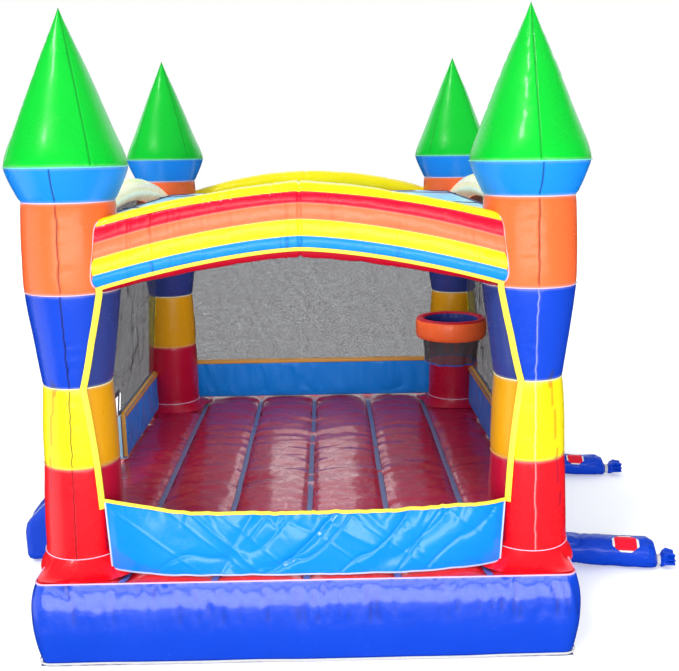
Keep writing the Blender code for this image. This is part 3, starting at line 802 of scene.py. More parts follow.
def build_floor():
    per_channel = 23
    local = (1 - np.cos(np.pi * np.arange(per_channel) / per_channel)) / 2
    xs = []
    for channel in range(CHANNELS):
        xs += list(seam_line(channel) + CHANNEL_WIDTH * local)
    x = np.clip(np.array(xs + [seam_line(CHANNELS)]), -HALF_X + 0.001, HALF_X - 0.001)[None]
    y = np.linspace(-1, 1, 190)[:, None] * floor_end(x)
    z, q = floor_height(x, y)
    flat = stacked(x, y, 0.0)
    inner = fade(HALF_Y - np.abs(y), 0.02, 0.22)
    seam = np.abs(q) ** 2.5
    lift = 0.010 * noise(flat, (0.45, 0.115, 1), 21) * (0.45 + seam)
    lift = lift + 0.005 * fractal(flat, (0.20, 0.14, 1), 22)
    lift = lift - 0.005 * ridges(flat + 0.15 * stacked(y, 0.0, 0.0), (0.5, 0.30, 1), 25)
    for k in range(1, CHANNELS):
        away = np.abs(x - seam_line(k))
        lift = lift + puckers(y + HALF_Y, away, 2 * HALF_Y, 0.10, 0.010, 0.10, 30 + k)
    z = z + lift * (0.15 + 0.85 * inner) * fade(HALF_X - np.abs(x), 0.0, 0.05)
    wear = 0.03 * (1 - inner) + 0.05 * seam
    # Painted light and shade: lit red on the margin outside the walls, shaded maroon inside
    skin = Shape().grid(stacked(x, y, z), wear=wear, inside=lit_margin_paint(x, y))
    skin.build("jump_floor_skin", vinyl("maroon", "_floor"), replaces=("jump_floor",), slot="maroon")

    for k in range(1, CHANNELS):
        line = seam_line(k)
        ys = np.linspace(-HALF_Y + 0.006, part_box(f"floor_seam_strip_{k}")[1].y, 150)
        xs = line + 0.004 * noise(stacked(ys, 0.0, k * 1.0), 0.4, 41)
        zs = floor_height(np.full_like(ys, line), ys)[0] + 0.0015
        zs = zs + 0.0015 * noise(stacked(ys, 1.0, k * 1.0), 0.09, 42)
        # Painted light: the strips are painted bright blue on the lit front margin, navy, painted shade,
        # inside
        painted_lit_margin = fade(-ys, 2.10, 2.13)[:, None]
        strip = Shape().sweep(stacked(xs, ys, zs), (0, 0, 1), tape(0.046, 0.008), wear=0.8, inside=painted_lit_margin)
        strip.build(
            f"floor_seam_strip_{k}_tape", vinyl("navy", "_strip"),
            replaces=(f"floor_seam_strip_{k}",), slot="navy",
        )


def build_underside():
    xs = np.linspace(-HALF_X + 0.006, HALF_X - 0.006, 60)[None]
    ys = np.linspace(-HALF_Y + 0.006, HALF_Y - 0.006, 80)[:, None]
    z = 0.003 + 0.0015 * noise(stacked(xs, ys, 0.0), 0.3, 51)
    panel = Shape().grid(stacked(xs, ys, z))
    sheet = panel.build("base_ground_panel", vinyl("navy", "_ground"),
                        replaces=("base_bottom_panel",), slot="navy")

    webs = Shape()
    half = HALF_Y - 0.25
    for k in range(1, CHANNELS):
        y = np.linspace(-half, half, 90)[None]
        z = np.linspace(0.008, SEAM_Z - 0.006, 14)[:, None]
        x = seam_line(k) + 0.010 * noise(stacked(0.0, y, z), 0.3, 60 + k) * np.sin(np.pi * z / SEAM_Z)
        holes = (np.abs((y[:, :-1] + y[:, 1:]) / 2 % 0.7 - 0.35) < 0.09) & (
            np.abs((z[:-1] + z[1:]) / 2 - 0.29) < 0.09
        )
        webs.grid(stacked(x, y, z), keep=~holes)
    sheet = webs.build("floor_baffle_webs", vinyl("white"),
                       replaces=("floor_baffles",), slot="white")


# ---------------------------------------------------------------- towers


GIRTH = 0.28  # a tower's radius, where folds are measured along its skin


def seam_angles(seams, radius, coarse=72):
    """Angles round a tower, closer together beside its seams."""
    offsets = np.array([0, 3, 6, 9, 13, 18, 25]) / 1000 / radius
    angles = list(turns(coarse))
    for seam in seams:
        near = turned(np.array(angles) - seam)
        angles = [a for a, d in zip(angles, near) if abs(d) > offsets[-1] + 0.3 / coarse]
        angles += [(seam + side * d) % (2 * np.pi) for side in (-1, 1) for d in offsets[side < 0 :]]
    return np.array(sorted(set(angles)))


def gore_shape(angle, seams, height):
    """Cloth panels pulled straight between their seams, as a share of the radius."""
    step = 2 * np.pi / len(seams)
    local = (angle - seams[0]) % step - step / 2
    flat = 0.36
    return 1 + (np.cos(step / 2 * flat) / np.cos(local * flat) - 1) * height


def build_tower(corner, sx, sy, number):
    first_gore = (307, 268, 315, 225)[number]  # degrees
    rings = Shape()
    turn = turns(96)
    for index, (band, profile, colour) in enumerate(BANDS):
        cone = band == "cone"
        if cone:
            seams = [math.radians(first_gore + 90 * i) % (2 * math.pi) for i in range(4)]
        else:
            seams = [math.radians(270 if sy < 0 else 90)]
        low, high = profile[0][0], profile[-1][0]
        if band == "red":
            low = TOWER_FOOT - 0.045
        height = high - low
        z = np.linspace(low, high, round(height / 0.021) + 1)[:, None]
        angle = seam_angles(seams, GIRTH)[None]
        radius = profile_radius(profile, np.maximum(z, profile[0][0]))
        if band == "red":
            flare = np.clip((FLARE_TOP - z) / (FLARE_TOP - low), 0, 1)
            radius = radius + 0.030 * flare**2.2
        if cone:
            radius = np.maximum(radius, 0.0012)
            radius = radius * gore_shape(angle, seams, fade(z - low, 0.02, 0.30))
        size = radius + 0 * angle
        up, down = z - low, high - z
        edge = np.minimum(up, down)
        room = np.clip(radius / 0.12, 0, 1)
        radius = radius + 0.007 * np.sin(np.pi * up / height) ** 0.7 * room
        radius = radius - 0.004 * np.exp(-((edge / 0.010) ** 2)) * room
        around = angle * GIRTH
        length = 2 * np.pi * GIRTH
        seed = 100 * number + 10 * index
        depth = 0.0065 if band in ("collar", "cone") else 0.0045
        folds = puckers(around, up, length, 0.050, depth, 0.050, seed + 1, True)
        folds = folds + puckers(around, down, length, 0.050, depth, 0.050, seed + 2, True)
        rub = np.exp(-((edge / 0.006) ** 2)) + 0 * angle
        # The seam line: dark thread and the painted shade of its groove; on the front-right tower's red,
        # yellow and blue bands it is painted pale
        thread = 2.0 if number == 1 and band in ("blue", "yellow", "red") else -0.5 if cone else -0.9
        for side, seam in enumerate(seams):
            wander = 0.005 * noise(stacked(0.0, 0.0, z), 0.045, seed + 8) * (0 if cone else 1)
            away = turned(angle - seam) * size + wander
            inner = (away * sx * sy > 0) if not cone else (away < 0)
            near = np.abs(away)
            rub = rub + thread * np.exp(-((near / 0.0045) ** 2))
            folds = folds - 0.006 * np.exp(-((near / 0.006) ** 2)) * fade(edge, 0.0, 0.02)
            strong = puckers(up, near, height, 0.034, 0.008, 0.100, seed + 3 + side)
            lower = 1.6 * (1 - fade(z, 2.12, 2.30)) + 0.3 if band == "blue" else 0.8
            folds = folds + strong * np.where(inner, lower, 0.2) * fade(edge, 0.0, 0.03)
        flat = about((sx * 5, sy * 5), GIRTH, angle, z)
        folds = folds + 0.0022 * fractal(flat, (0.16, 0.16, 0.22), seed + 7)
        points = about(tower_centre(sx, sy, z), radius + folds * room, angle, z)
        # Painted shade: where the skin faces the cabin it takes the shaded copy of its colour
        inside = cabin_shade_paint(points[..., 0], points[..., 1], points[..., 2], sy)
        skin = Shape().grid(points, wrap_u=True, wear=rub, inside=inside)
        node = f"tower_{corner}_{band}"
        skin.build(f"{node}_skin", vinyl(colour), replaces=(node,), slot=colour)

        if not cone:
            ring = about(tower_centre(sx, sy, high), profile[-1][1] - 0.001, turn, high)
            rings.sweep(ring, outward(turn), circle(0.0042), closed=True, slot=index)
    ring = about(tower_centre(sx, sy, FLARE_TOP), 0.2815, turn, FLARE_TOP)
    rings.sweep(ring, outward(turn), circle(0.0032), closed=True, slot=3)
    pipes = [vinyl(c) for c in ("golden", "lemon", "peach", "ice", "mint")]
    rings.build(f"tower_{corner}_piping", pipes, slot="white")


def build_tower_foot(corner, sx, sy, number):
    """The foot panel that spreads from a tower to the corner of the base."""
    cx, cy = tower_centre(sx, sy, FLARE_TOP)
    angle = turns(144)[None]
    t = np.linspace(0, 1, 15)[:, None]
    out_x = np.maximum(np.cos(angle) * sx, 0.02)
    out_y = np.maximum(np.sin(angle) * sy, 0.02)
    cap = 0.335 + 0.19 * fade(np.sin(angle) * sy, 0.1, 0.6)
    end = np.minimum((HALF_X - 0.004 - abs(cx)) / out_x, (HALF_Y - 0.006 - abs(cy)) / out_y)
    end = np.minimum(end, cap)
    end = end * (1 - 0.10 * fade(end, 0.42, 0.52))
    fold = puckers(angle * GIRTH, t * 0.15, 2 * np.pi * GIRTH, 0.05, 0.010, 0.10, 170 + number, True)
    radius = 0.278 + (end - 0.278) * t
    z = BASE_HEIGHT + 0.004 + 0.096 * (1 - t) ** 2.0 + fold * np.sin(np.pi * t)
    x, y = cx + radius * np.cos(angle), cy + radius * np.sin(angle)
    z = np.maximum(z, floor_height(x, y)[0] + 0.003 * (1 - 0.5 * t))
    # Painted shade on the panel where it faces the cabin
    panel = Shape().grid(stacked(x, y, z), wrap_u=True, flip=True, inside=cabin_shade_paint(x, y, z, sy))
    panel.build(f"tower_{corner}_foot_panel", vinyl("red"), slot="red")


def cabin_shade_paint(x, y, z, sy):
    """1 where a tower's skin faces the cabin, between the nets and behind the front opening: where it is
    painted in shade.
    """
    rise = np.clip((z - 1.058) / 1.94, 0, 1)
    side = SIDE_WALL_X - 0.185 * rise
    if sy < 0:
        return (np.abs(x) < side) * (y > TRIM_Y) * (z < 2.56) * 1.0
    return (np.abs(x) < side) * (y < REAR_WALL_Y - 0.275 * rise) * (z < 2.96) * 1.0


def build_opening_trims():
    """The yellow strip that frames the front opening on each tower and under the arch."""
    for side, name in ((-1, "left"), (1, "right")):
        z = np.linspace(1.04, 2.575, 120)
        cy = tower_centre(side, -1, z)[1]
        angle = np.arcsin(np.clip((TRIM_Y - cy) / tower_radius(z), -0.999, 0.999))
        if side > 0:
            angle = np.pi - angle
        path, out = tower_point(side, -1, z, angle, 0.010)
        strip = Shape().sweep(path, out + np.array((-0.2 * side, -1.1, 0.0)), tape(0.044, 0.010))
        strip.build(f"opening_trim_{name}", vinyl("yellow", "_trim"), slot="yellow")


# ---------------------------------------------------------------- arches


def arch_lines(s):
    """The heights of the front arch's seams, from the bottom up, at a share s of the half span."""
    drop = np.abs(s) ** ARCH_POWER
    lines = [ARCH_BOTTOM + 0 * s]
    for _, _, mid, end in ARCH_BANDS:
        lines.append(lines[-1] + mid + (end - mid) * drop)
    return [line - ARCH_SAG * drop for line in lines]


def arch_strip(low, high, side, s, rows):
    """Part of the arch's front (side -1) or back (side 1) face, between two of its seams."""
    lines = arch_lines(s)
    bottom, top = lines[0], lines[-1]
    z = low + (high - low) * np.linspace(0, 1, rows)[:, None]
    up = np.clip(np.abs((2 * z - bottom - top) / (top - bottom)), 0, 1)
    depth = (1 - up**6) ** (1 / 6)
    return stacked(s, side * depth, z), z


def arch_points(local, s):
    """From (share of span, share of depth, height) to metres."""
    y = ARCH_Y + ARCH_HALF * local[..., 1]
    z = local[..., 2]
    lines = arch_lines(s)
    high = (z - lines[1]) / (lines[-1] - lines[1])
    y = y + 0.040 * fade(np.abs(s), 0.55, 1.0) * fade(high, 0.0, 1.0) * fade(-local[..., 1], 0.0, 0.8)
    x = s * reach_x(y, z)
    return stacked(x, y, z)


def arch_folds(s, z, seed):
    """Upright puckers, in clusters, and the crease where the two halves of the arch are joined."""
    along = s * 1.35 + 1.35
    cluster = 0.35 + 0.65 * fade(noise(stacked(s * 1.35, 0.0, 7.0), 0.35, 77), -0.4, 0.5)
    deep = puckers(along, 0 * z, 2.70, 0.042, 0.0120, 1.0, 70)
    deep = deep * cluster * (0.55 + 0.45 * noise(stacked(s * 1.35, 0.0 * z, z), (0.10, 1, 0.12), seed))
    centre = -0.012 * np.exp(-((s * 1.35 / 0.010) ** 2))
    return deep + centre + 0.003 * fractal(stacked(s * 1.35, 0.0, z), (0.14, 1, 0.16), seed + 1), deep


def build_front_arch():
    s = np.linspace(-1, 1, 361)[None]
    lines = arch_lines(s)
    for k, (band, colour, _, _) in enumerate(ARCH_BANDS):
        low, high = lines[k], lines[k + 1]
        shape = Shape()
        for side in () if band in ("underside", "top") else (-1, 1):
            local, z = arch_strip(low, high, side, s, 9)
            points = arch_points(local, s)
            across = (z - low) / (high - low)
            crown = 0.007 * np.sin(np.pi * across) ** 0.6 - 0.003
            folds, deep = arch_folds(s, z, 80 + side)
            points[..., 1] += side * (crown + folds)
            rub = 0.6 * np.exp(-((np.minimum(z - low, high - z) / 0.004) ** 2))
            # Painted shade: the bottoms of the deep puckers are painted dark
            creases = 0.55 * np.clip(-deep / 0.008 - 0.15, 0, 1)
            shape.grid(points, flip=side > 0, wear=rub - creases)
        if band in ("underside", "top"):
            sign = 1 if band == "top" else -1
            bottom, top = lines[0], lines[-1]
            limit = low if band == "top" else high
            up = np.clip(np.abs((2 * limit - bottom - top) / (top - bottom)), 0, 0.999)
            edge = (1 - up**6) ** (1 / 6)
            start = np.arccos(np.clip(edge, 0, 1) ** 3)  # the angle on a rounded square of power 6
            share = np.linspace(0, 1, 27)[:, None]
            turn = np.pi - start - (np.pi - 2 * start) * share
            v, w = squared(turn, 6)
            z = (top + bottom) / 2 + sign * (top - bottom) / 2 * w
            points = arch_points(stacked(s, v, z), s)
            face, _ = arch_folds(s, z, 90)
            points[..., 2] += sign * (0.010 * np.sin(np.pi * share) + face) * fade(w, 0.6, 1.0)
            points[..., 1] += np.sign(v) * face * (1 - fade(w, 0.6, 1.0))
            shape.grid(points, flip=sign < 0, wear=0.2 * np.exp(-((share / 0.03) ** 2)) + 0 * z)
        node = f"front_arch_{band}"
        shape.build(f"{node}_skin", vinyl(colour), replaces=(node,), slot=colour)


def build_arch_trims():
    """The yellow trim under the front arch's face and the piping at its ends."""
    s = np.linspace(-1, 1, 181)[None]
    line = arch_lines(s)[1]
    local, _ = arch_strip(line, line, -1, s, 1)
    path = arch_points(local, s)[0]
    path[:, 1] -= 0.004
    trim = Shape().sweep(path, (0, -1, 0), tape(0.026, 0.011))
    trim.build("opening_trim_arch", vinyl("yellow", "_trim"), slot="yellow")

    ends = Shape()
    for side in (-1, 1):
        share = np.linspace(0.02, 0.98, 40)
        rows = arch_lines(np.array([float(side)]))
        z = rows[0] + (rows[-1] - rows[0]) * share
        up = np.abs(2 * share - 1)
        y = ARCH_Y - ARCH_HALF * (1 - up**6) ** (1 / 6) - 0.004
        y = y + 0.040 * fade((z - rows[1]) / (rows[-1] - rows[1]), 0.0, 1.0)
        x = side * reach_x(y, z, -0.004)
        ends.sweep(stacked(x, y, z), (-side, 0, 0), circle(0.005))
    ends.build("front_arch_end_piping", vinyl("pink"), slot="white")


def build_small_arch(name, path_of, length, seed, colour):
    """A round air beam along path_of(s), which gives points for each angle round it."""
    s = np.linspace(-1, 1, 151)[:, None]
    angle = turns(40)[None]
    along = (s + 1) * length / 2
    radius = SMALL_ARCH / 2 - 0.003
    around = turned(angle - np.radians(115)) * radius
    folds = puckers(along, np.abs(around), length, 0.045, 0.009, 0.12, seed)
    folds = folds - 0.004 * np.exp(-((around / 0.007) ** 2))
    folds = folds + 0.003 * fractal(stacked(along, np.cos(angle), np.sin(angle)), (0.2, 1, 1), seed + 1)
    folds = folds * fade(1 - np.abs(s), 0.0, 0.03)
    points = path_of(s, (radius + folds) * np.cos(angle), (radius + folds) * np.sin(angle))
    skin = Shape().grid(points, wrap_u=True, wear=0.4 * np.exp(-((around / 0.006) ** 2)))
    # The cream side arches get the strongest painted glow, the rear arch a faint one
    finish = "_painted_glow_arch" if colour == "cream" else "_arch"
    skin.build(f"{name}_skin", vinyl(colour, finish), replaces=(name,), slot=colour)


def build_small_arches():
    middle = SMALL_ARCH_TOP - SMALL_ARCH / 2

    def rear(s, v, w):
        y, z = REAR_ARCH_Y + v, middle + w
        x = s * reach_x(y, z - REAR_SAG * 1.4)
        return stacked(x, y, z - REAR_SAG * x * x)

    build_small_arch("rear_arch", rear, 2.6, 201, "yellow")
    for name, side, seed in (("left_arch", -1, 211), ("right_arch", 1, 221)):

        def beside(s, u, w, side=side):
            x, z = side * (SIDE_ARCH_X + u), middle + w
            y = s * reach_y(x, z - SIDE_SAG * 2.5)
            return stacked(x, y, z - SIDE_SAG * y * y)

        build_small_arch(name, beside, 3.3, seed, "cream")


# ---------------------------------------------------------------- roof


ROOF_HALF_X, ROOF_HALF_Y = SIDE_ARCH_X - SMALL_ARCH / 2 - 0.004, 1.79
ROOF_EDGE_Z, ROOF_RISE = 2.98, 0.05


def roof_height(x, y, ends):
    u, s = x / ROOF_HALF_X, y / ends
    return ROOF_EDGE_Z + ROOF_RISE * (1 - u**2) * (1 - s**2)


def roof_end(x):
    return np.minimum(ROOF_HALF_Y, reach_y(x, ROOF_EDGE_Z + 0 * x, -0.006))


def build_roof():
    x = ROOF_HALF_X * np.sin(np.linspace(-np.pi / 2, np.pi / 2, 100))[None]
    ends = roof_end(x)
    y = np.linspace(-1, 1, 130)[:, None] * ends
    z = roof_height(x, y, ends)
    flat = stacked(x, y, 0.0)
    slack = fade(ends - np.abs(y), 0.0, 0.12) * fade(ROOF_HALF_X - np.abs(x), 0.0, 0.10)
    z = z + slack * 0.010 * (fractal(flat, (0.5, 0.22, 1), 301) + ridges(flat, (0.33, 0.6, 1), 303))
    z = z + slack * 0.006 * ridges(flat + 0.3 * stacked(y, 0.0, 0.0), (0.22, 0.4, 1), 306)
    skin = Shape().grid(stacked(x, y, z), wear=0.3 * (1 - slack))
    # The light azure is azure vinyl with a painted sky reflection, and the roof finish adds a painted glow
    roof = skin.build("roof_skin", vinyl("sky", "_roof"), replaces=("roof_panel",), slot="sky")

    trims = Shape()

    def lay(x, y, ends, lift, width, height):
        """A tape over the roof, which ends at this y where the tape lies."""
        trims.sweep(stacked(x, y, roof_height(x, y, ends) + lift), (0, 0, 1), tape(width, height))

    xs = np.linspace(-ROOF_HALF_X + 0.004, ROOF_HALF_X - 0.004, 120)
    ys = np.linspace(-1, 1, 100)
    for side in (-1, 1):
        edge = np.full(100, side * (ROOF_HALF_X - 0.006))
        stop = roof_end(edge)
        lay(edge, ys * stop, stop, 0.001, 0.026, 0.007)
        stop = roof_end(xs)
        lay(xs, side * (stop - 0.006), stop, 0.002, 0.022, 0.007)
    for place in (-0.7, 0.9):
        across = xs[np.abs(place) < roof_end(xs) - 0.02]
        lay(across, place, roof_end(across), 0.012, 0.020, 0.006)
    band = trims.build("roof_webbing", webbing("navy"), slot="navy")


# ---------------------------------------------------------------- walls and nets


def build_low_wall(name, place, ends, seed):
    """A padded wall: place(across, along, z) puts it, ends(across, z) gives where it stops."""
    v, w = squared(turns(56)[None], 5)
    s = np.linspace(0, 1, 141)[:, None]
    z = WALL_Z + WALL_HEIGHT / 2 + (WALL_HEIGHT / 2 - 0.002) * w
    start, stop = ends((WALL_DEPTH / 2) * v, z)
    along = start + (stop - start) * s
    flat = stacked(along, 0.0, z)
    length = float(np.max(stop - start))
    swell = 0.008 * fractal(flat, (0.10, 1, 0.30), seed)
    swell = swell - 0.010 * ridges(stacked(along + 0.4 * z, 0.0, z), (0.16, 1, 0.5), seed + 3)
    swell = swell + puckers(along - start, z - WALL_Z, length, 0.07, 0.010, 0.10, seed + 5)
    swell = swell + puckers(along - start, WALL_TOP - z, length, 0.06, 0.008, 0.10, seed + 6)
    across = (WALL_DEPTH / 2 - 0.004) * v + np.sign(v) * swell * np.abs(v) ** 4
    points = place(across, along, z)
    wall = Shape().grid(points, wrap_u=True, wear=0.3 * np.abs(w) ** 12)
    wall.cap(points[0])
    wall.cap(points[-1], flip=True)
    piece = wall.build(f"{name}_pad", vinyl("azure", "_wall"), replaces=(name,), slot="azure")
    # The golden binding lies over the top and down the cabin side
    inside, top = -0.022, WALL_TOP - 0.003
    begin, finish = ends(inside, top)
    rail = begin + (finish - begin) * np.linspace(0, 1, 120)
    trim = Shape().sweep(place(inside, rail, top), (0, 0, 1), tape(0.040, 0.009))
    inward = place(-1.0, 0.0, 0.0) - place(0.0, 0.0, 0.0)
    trim.sweep(place(inside - 0.026, rail, top - 0.016), inward, tape(0.036, 0.006))
    if name == "low_wall_left":
        z = np.linspace(WALL_Z + 0.02, WALL_TOP, 30)
        edge = stacked(-SIDE_WALL_X + 0.02, DOOR_HINGE_Y + DOOR_CLEAR - 0.004 + 0 * z, z)
        trim.sweep(edge, (0, -1, 0), tape(0.040, 0.008))
    trim.build(f"{name}_trim", vinyl("golden"), slot="golden")


def build_low_walls():
    def left_ends(across, z):
        return DOOR_HINGE_Y + DOOR_CLEAR + 0 * z, reach_y(SIDE_WALL_X + across, z)

    def right_ends(across, z):
        far = reach_y(SIDE_WALL_X + across, z)
        return -far, far

    def rear_ends(across, z):
        far = reach_x(REAR_WALL_Y + across, z)
        return -far, far

    build_low_wall("low_wall_left", lambda v, u, z: stacked(-SIDE_WALL_X - v, u, z), left_ends, 401)
    build_low_wall("low_wall_right", lambda v, u, z: stacked(SIDE_WALL_X + v, u, z), right_ends, 411)
    build_low_wall("low_wall_rear", lambda v, u, z: stacked(u, REAR_WALL_Y + v, z), rear_ends, 421)


NET_STEP = 0.027  # between the points of a net wall
NET_BEND = 2.45  # where a net wall starts to follow its arch


def net_rows(levels):
    """Heights from level to level, with each level among them."""
    rows = [levels[0]]
    for low, high in zip(levels, levels[1:]):
        count = max(1, round((high - low) / NET_STEP))
        rows += [low + (high - low) * (i + 1) / count for i in range(count)]
    return np.array(rows)


def build_net(name, base, top, limit, sag, place, seed, cuts=(), foot=None, absent=lambda u, z: u > 99):
    """A net wall from the low wall up to its arch. cuts are fixed columns, absent is where it is open."""
    low = WALL_TOP - 0.004
    arch_low = SMALL_ARCH_TOP - SMALL_ARCH + 0.004
    levels = [low, NET_BEND, arch_low]
    if foot is not None:
        levels = [foot, low, ENTRANCE_TOP, NET_BEND, arch_low]
    rows = net_rows(levels)[:, None]

    def across(z):
        return base + (top - base) * np.maximum(0, z - low) / (arch_low - low)

    edge = limit(across(rows), np.minimum(rows, 2.9))
    stops = [-edge] + [np.full_like(edge, c) for c in cuts] + [edge]
    columns = []
    for near, far in zip(stops, stops[1:]):
        count = max(2, round(float(np.max(far - near)) / NET_STEP))
        columns.append(near + (far - near) * np.arange(count)[None] / count)
    u = np.concatenate(columns + [stops[-1]], axis=1)
    share = np.clip((rows - NET_BEND) / (arch_low - NET_BEND), 0, 1)
    z = rows - share * sag * u**2
    slack = 1.0
    for away in (edge - np.abs(u), arch_low - rows, rows - low):
        slack = slack * np.clip(away / 0.25, 0, 1)
    wrinkle = 0.016 * fractal(stacked(u, 0.0, z), (0.5, 1, 0.4), seed)
    wrinkle = wrinkle + 0.012 * ridges(stacked(u + 0.5 * z, 0.0, z), (0.30, 1, 0.5), seed + 4)
    wrinkle = wrinkle + 0.008 * ridges(stacked(u - 0.7 * z, 0.0, z), (0.12, 1, 0.2), seed + 6)
    out = slack * (0.022 + (1.0 if "rear" in name else 1.7) * wrinkle)
    mid_u, mid_z = (u[:-1, :-1] + u[1:, 1:]) / 2, (z[:-1, :-1] + z[1:, 1:]) / 2
    net = Shape().grid(place(across(z) + out, u, z), keep=~absent(mid_u, mid_z))
    mat = netting() if "rear" in name else netting(strand=0.64, tag="_side")
    return net.build(f"{name}_net", mat, replaces=(name,), slot="net"), across


def build_nets():
    def limit_y(x, z):
        return reach_y(x, z, -0.004)

    def limit_x(y, z):
        return reach_x(y, z, -0.004)

    net, _ = build_net("mesh_wall_right", SIDE_WALL_X, SIDE_ARCH_X + 0.03, limit_y, SIDE_SAG,
                       lambda v, u, z: stacked(v, u, z), 501)
    net, _ = build_net("mesh_wall_rear", REAR_WALL_Y, REAR_ARCH_Y + 0.03, limit_x, REAR_SAG,
                       lambda v, u, z: stacked(u, v, z), 511)

    wall_end = DOOR_HINGE_Y + DOOR_CLEAR

    def absent(u, z):
        entrance = (u > ENTRANCE_FRONT_Y) & (u < ENTRANCE_REAR_Y) & (z < ENTRANCE_TOP)
        return entrance | ((u > ENTRANCE_REAR_Y) & (z < WALL_TOP - 0.004))

    net, across = build_net(
        "mesh_wall_left", SIDE_WALL_X, SIDE_ARCH_X + 0.03, limit_y, SIDE_SAG,
        lambda v, u, z: stacked(-v, u, z), 521,
        cuts=(ENTRANCE_FRONT_Y, ENTRANCE_REAR_Y, wall_end), foot=WALL_Z, absent=absent,
    )
    edges = Shape()
    out = (-1, 0, 0)
    for y, start in ((ENTRANCE_FRONT_Y, WALL_Z), (ENTRANCE_REAR_Y, WALL_TOP + 0.004)):
        z = np.linspace(start, ENTRANCE_TOP, 60)
        edges.sweep(stacked(-across(z) - 0.014, y, z), out, tape(0.045, 0.006))
    y = np.linspace(ENTRANCE_FRONT_Y, ENTRANCE_REAR_Y, 40)
    edges.sweep(stacked(-across(ENTRANCE_TOP) - 0.016, y, ENTRANCE_TOP), out, tape(0.045, 0.006))
    y = np.linspace(ENTRANCE_REAR_Y - 0.02, wall_end, 30)
    edges.sweep(stacked(-SIDE_WALL_X - 0.003, y, WALL_TOP + 0.012), out, tape(0.040, 0.006))
    band = edges.build("entrance_edging", webbing("navy"), slot="navy")


# ---------------------------------------------------------------- apron, step and door


def apron_place(s, up):
    """The loose vinyl apron across the front: s along it from -1 to 1, up from 0 to 1."""
    x = s * (1.340 + 0.032 * up)
    top_sag = 0.030 * (1 - s**2) - 0.045 * fade(-s, 0.55, 1.0)
    bottom, top = WALL_Z + 0.004, WALL_Z + 0.437 - top_sag
    z = bottom + (top - bottom) * up
    bow = 0.152 * (1 - np.abs(s) ** 3.5) * (1 - 0.35 * up**2)
    y = -2.128 - bow - 0.040 * (1 - up)
    return x, y, z


def build_apron():
    s = np.linspace(-1, 1, 301)[None]
    up = np.linspace(0, 1, 51)[:, None]
    x, y, z = apron_place(s, up)
    flat = stacked(x, 0.0, z)
    slant = stacked(x + 1.3 * z, 0.0, z)
    other = stacked(x - 0.8 * z, 0.0, z)
    hung = fade(1 - np.abs(s), 0.0, 0.05)
    patch = fade(noise(flat, (0.62, 1, 0.9), 603), -0.25, 0.25)
    steep = 0.026 * ridges(slant, (0.40, 1, 1.5), 605) + 0.013 * ridges(slant, (0.17, 1, 0.6), 617)
    crossed = 0.022 * ridges(other, (0.42, 1, 1.1), 609) + 0.010 * ridges(other, (0.2, 1, 0.5), 619)
    fold = 0.012 * fractal(flat, (0.42, 1, 0.34), 601, 2)
    fold = fold + steep * (0.3 + 0.7 * patch) - crossed * (1 - 0.7 * patch)
    fold = fold + puckers(x + 1.372, (1 - up) * 0.43, 2.75, 0.095, 0.013, 0.09, 612)
    y = y - fold * hung * fade(up, -0.2, 0.25)
    z = z + 0.004 * noise(flat, (0.09, 1, 2), 620) * (1 - fade(up, 0.0, 0.12))
    points = stacked(x, y, z)
    skin = Shape().grid(points, wear=0.5 * np.exp(-((up / 0.02) ** 2)))
    apron = skin.build("front_skirt_sheet", vinyl("azure", "_apron"),
                       replaces=("front_skirt",), slot="azure")
    trims = Shape()
    trims.sweep(points[-1, ::3] + (0, -0.001, 0.004), (0, -1, 0.3), tape(0.025, 0.012))
    hem = tape(0.012, 0.004)
    trims.sweep(points[0, ::3] + (0, -0.002, 0.004), (0, -1, 0), hem, slot=1)
    for column in (0, -1):
        trims.sweep(points[::2, column] + (0, -0.002, 0), (0, -1, 0), hem, slot=1)
    band = trims.build("front_skirt_trim",
                       [vinyl("yellow", "_trim"), vinyl("hem")], slot="yellow")


def build_step():
    """The padded step: a pillow that leans on the base, round at its outer end."""
    (x0, x1), (y0, y1) = STEP_X, STEP_Y
    along = np.linspace(0, 1, 70)[:, None]
    angle = turns(120)[None]
    v, w = squared(angle, 6)
    x = x1 + 0.012 + (x0 - x1 - 0.012 + 0.004) * along
    from_end = x - x0
    below = np.interp(from_end, (0.0, 0.02, 0.07, 0.20, 0.30, 0.55), (0.27, 0.22, 0.145, 0.026, 0.0, 0.012))
    top = STEP_TOP - below
    foot = np.interp(from_end, (0.0, 0.02, 0.05, 0.55), (0.030, 0.008, 0.002, 0.002))
    shrink = np.interp(from_end, (0.0, 0.02, 0.06, 0.55), (0.035, 0.012, 0.0, 0.0))
    middle, half = (top + foot) / 2, (top - foot) / 2
    z = middle + half * w
    y = (y0 + y1) / 2 + ((y1 - y0) / 2 - shrink - 0.004) * v
    flat = stacked(x, y, z)
    swell = 0.006 * fractal(flat, 0.16, 651) - 0.008 * ridges(flat, (0.14, 0.2, 0.3), 655)
    swell = swell + puckers(angle * 0.45, from_end, 2.8, 0.06, 0.009, 0.08, 657, True)
    swell = np.minimum(swell, 0.004) * fade(np.abs(z), 0.0, 0.05)
    y = y + swell * v
    z = np.maximum(z + swell * w, 0.001)
    rows = stacked(x, y, z)
    pad = Shape().grid(rows, wrap_u=True, flip=True)
    end = rows[-1]
    centre = end.mean(0)
    dish = np.linspace(1, 0.02, 12)[:, None, None]
    ring = centre + (end - centre)[None] * dish
    ring[..., 0] -= 0.004 * (1 - dish[..., 0] ** 2)
    pad.grid(ring, wrap_u=True, flip=True)
    piece = pad.build("entrance_step_pad", vinyl("blue", "_step"), replaces=("entrance_step",), slot="blue")
    welt = Shape()
    for corner in (15, 45):  # the two upper corners of the section
        welt.sweep(rows[:, corner], rows[:, corner] - rows.mean(1), circle(0.005))
    welt.sweep(end[75:106] + (-0.002, 0, 0.002), (-1, 0, 0), circle(0.004))  # the lower edge of the end
    welt.build("entrance_step_piping", webbing("hem"), slot="white")


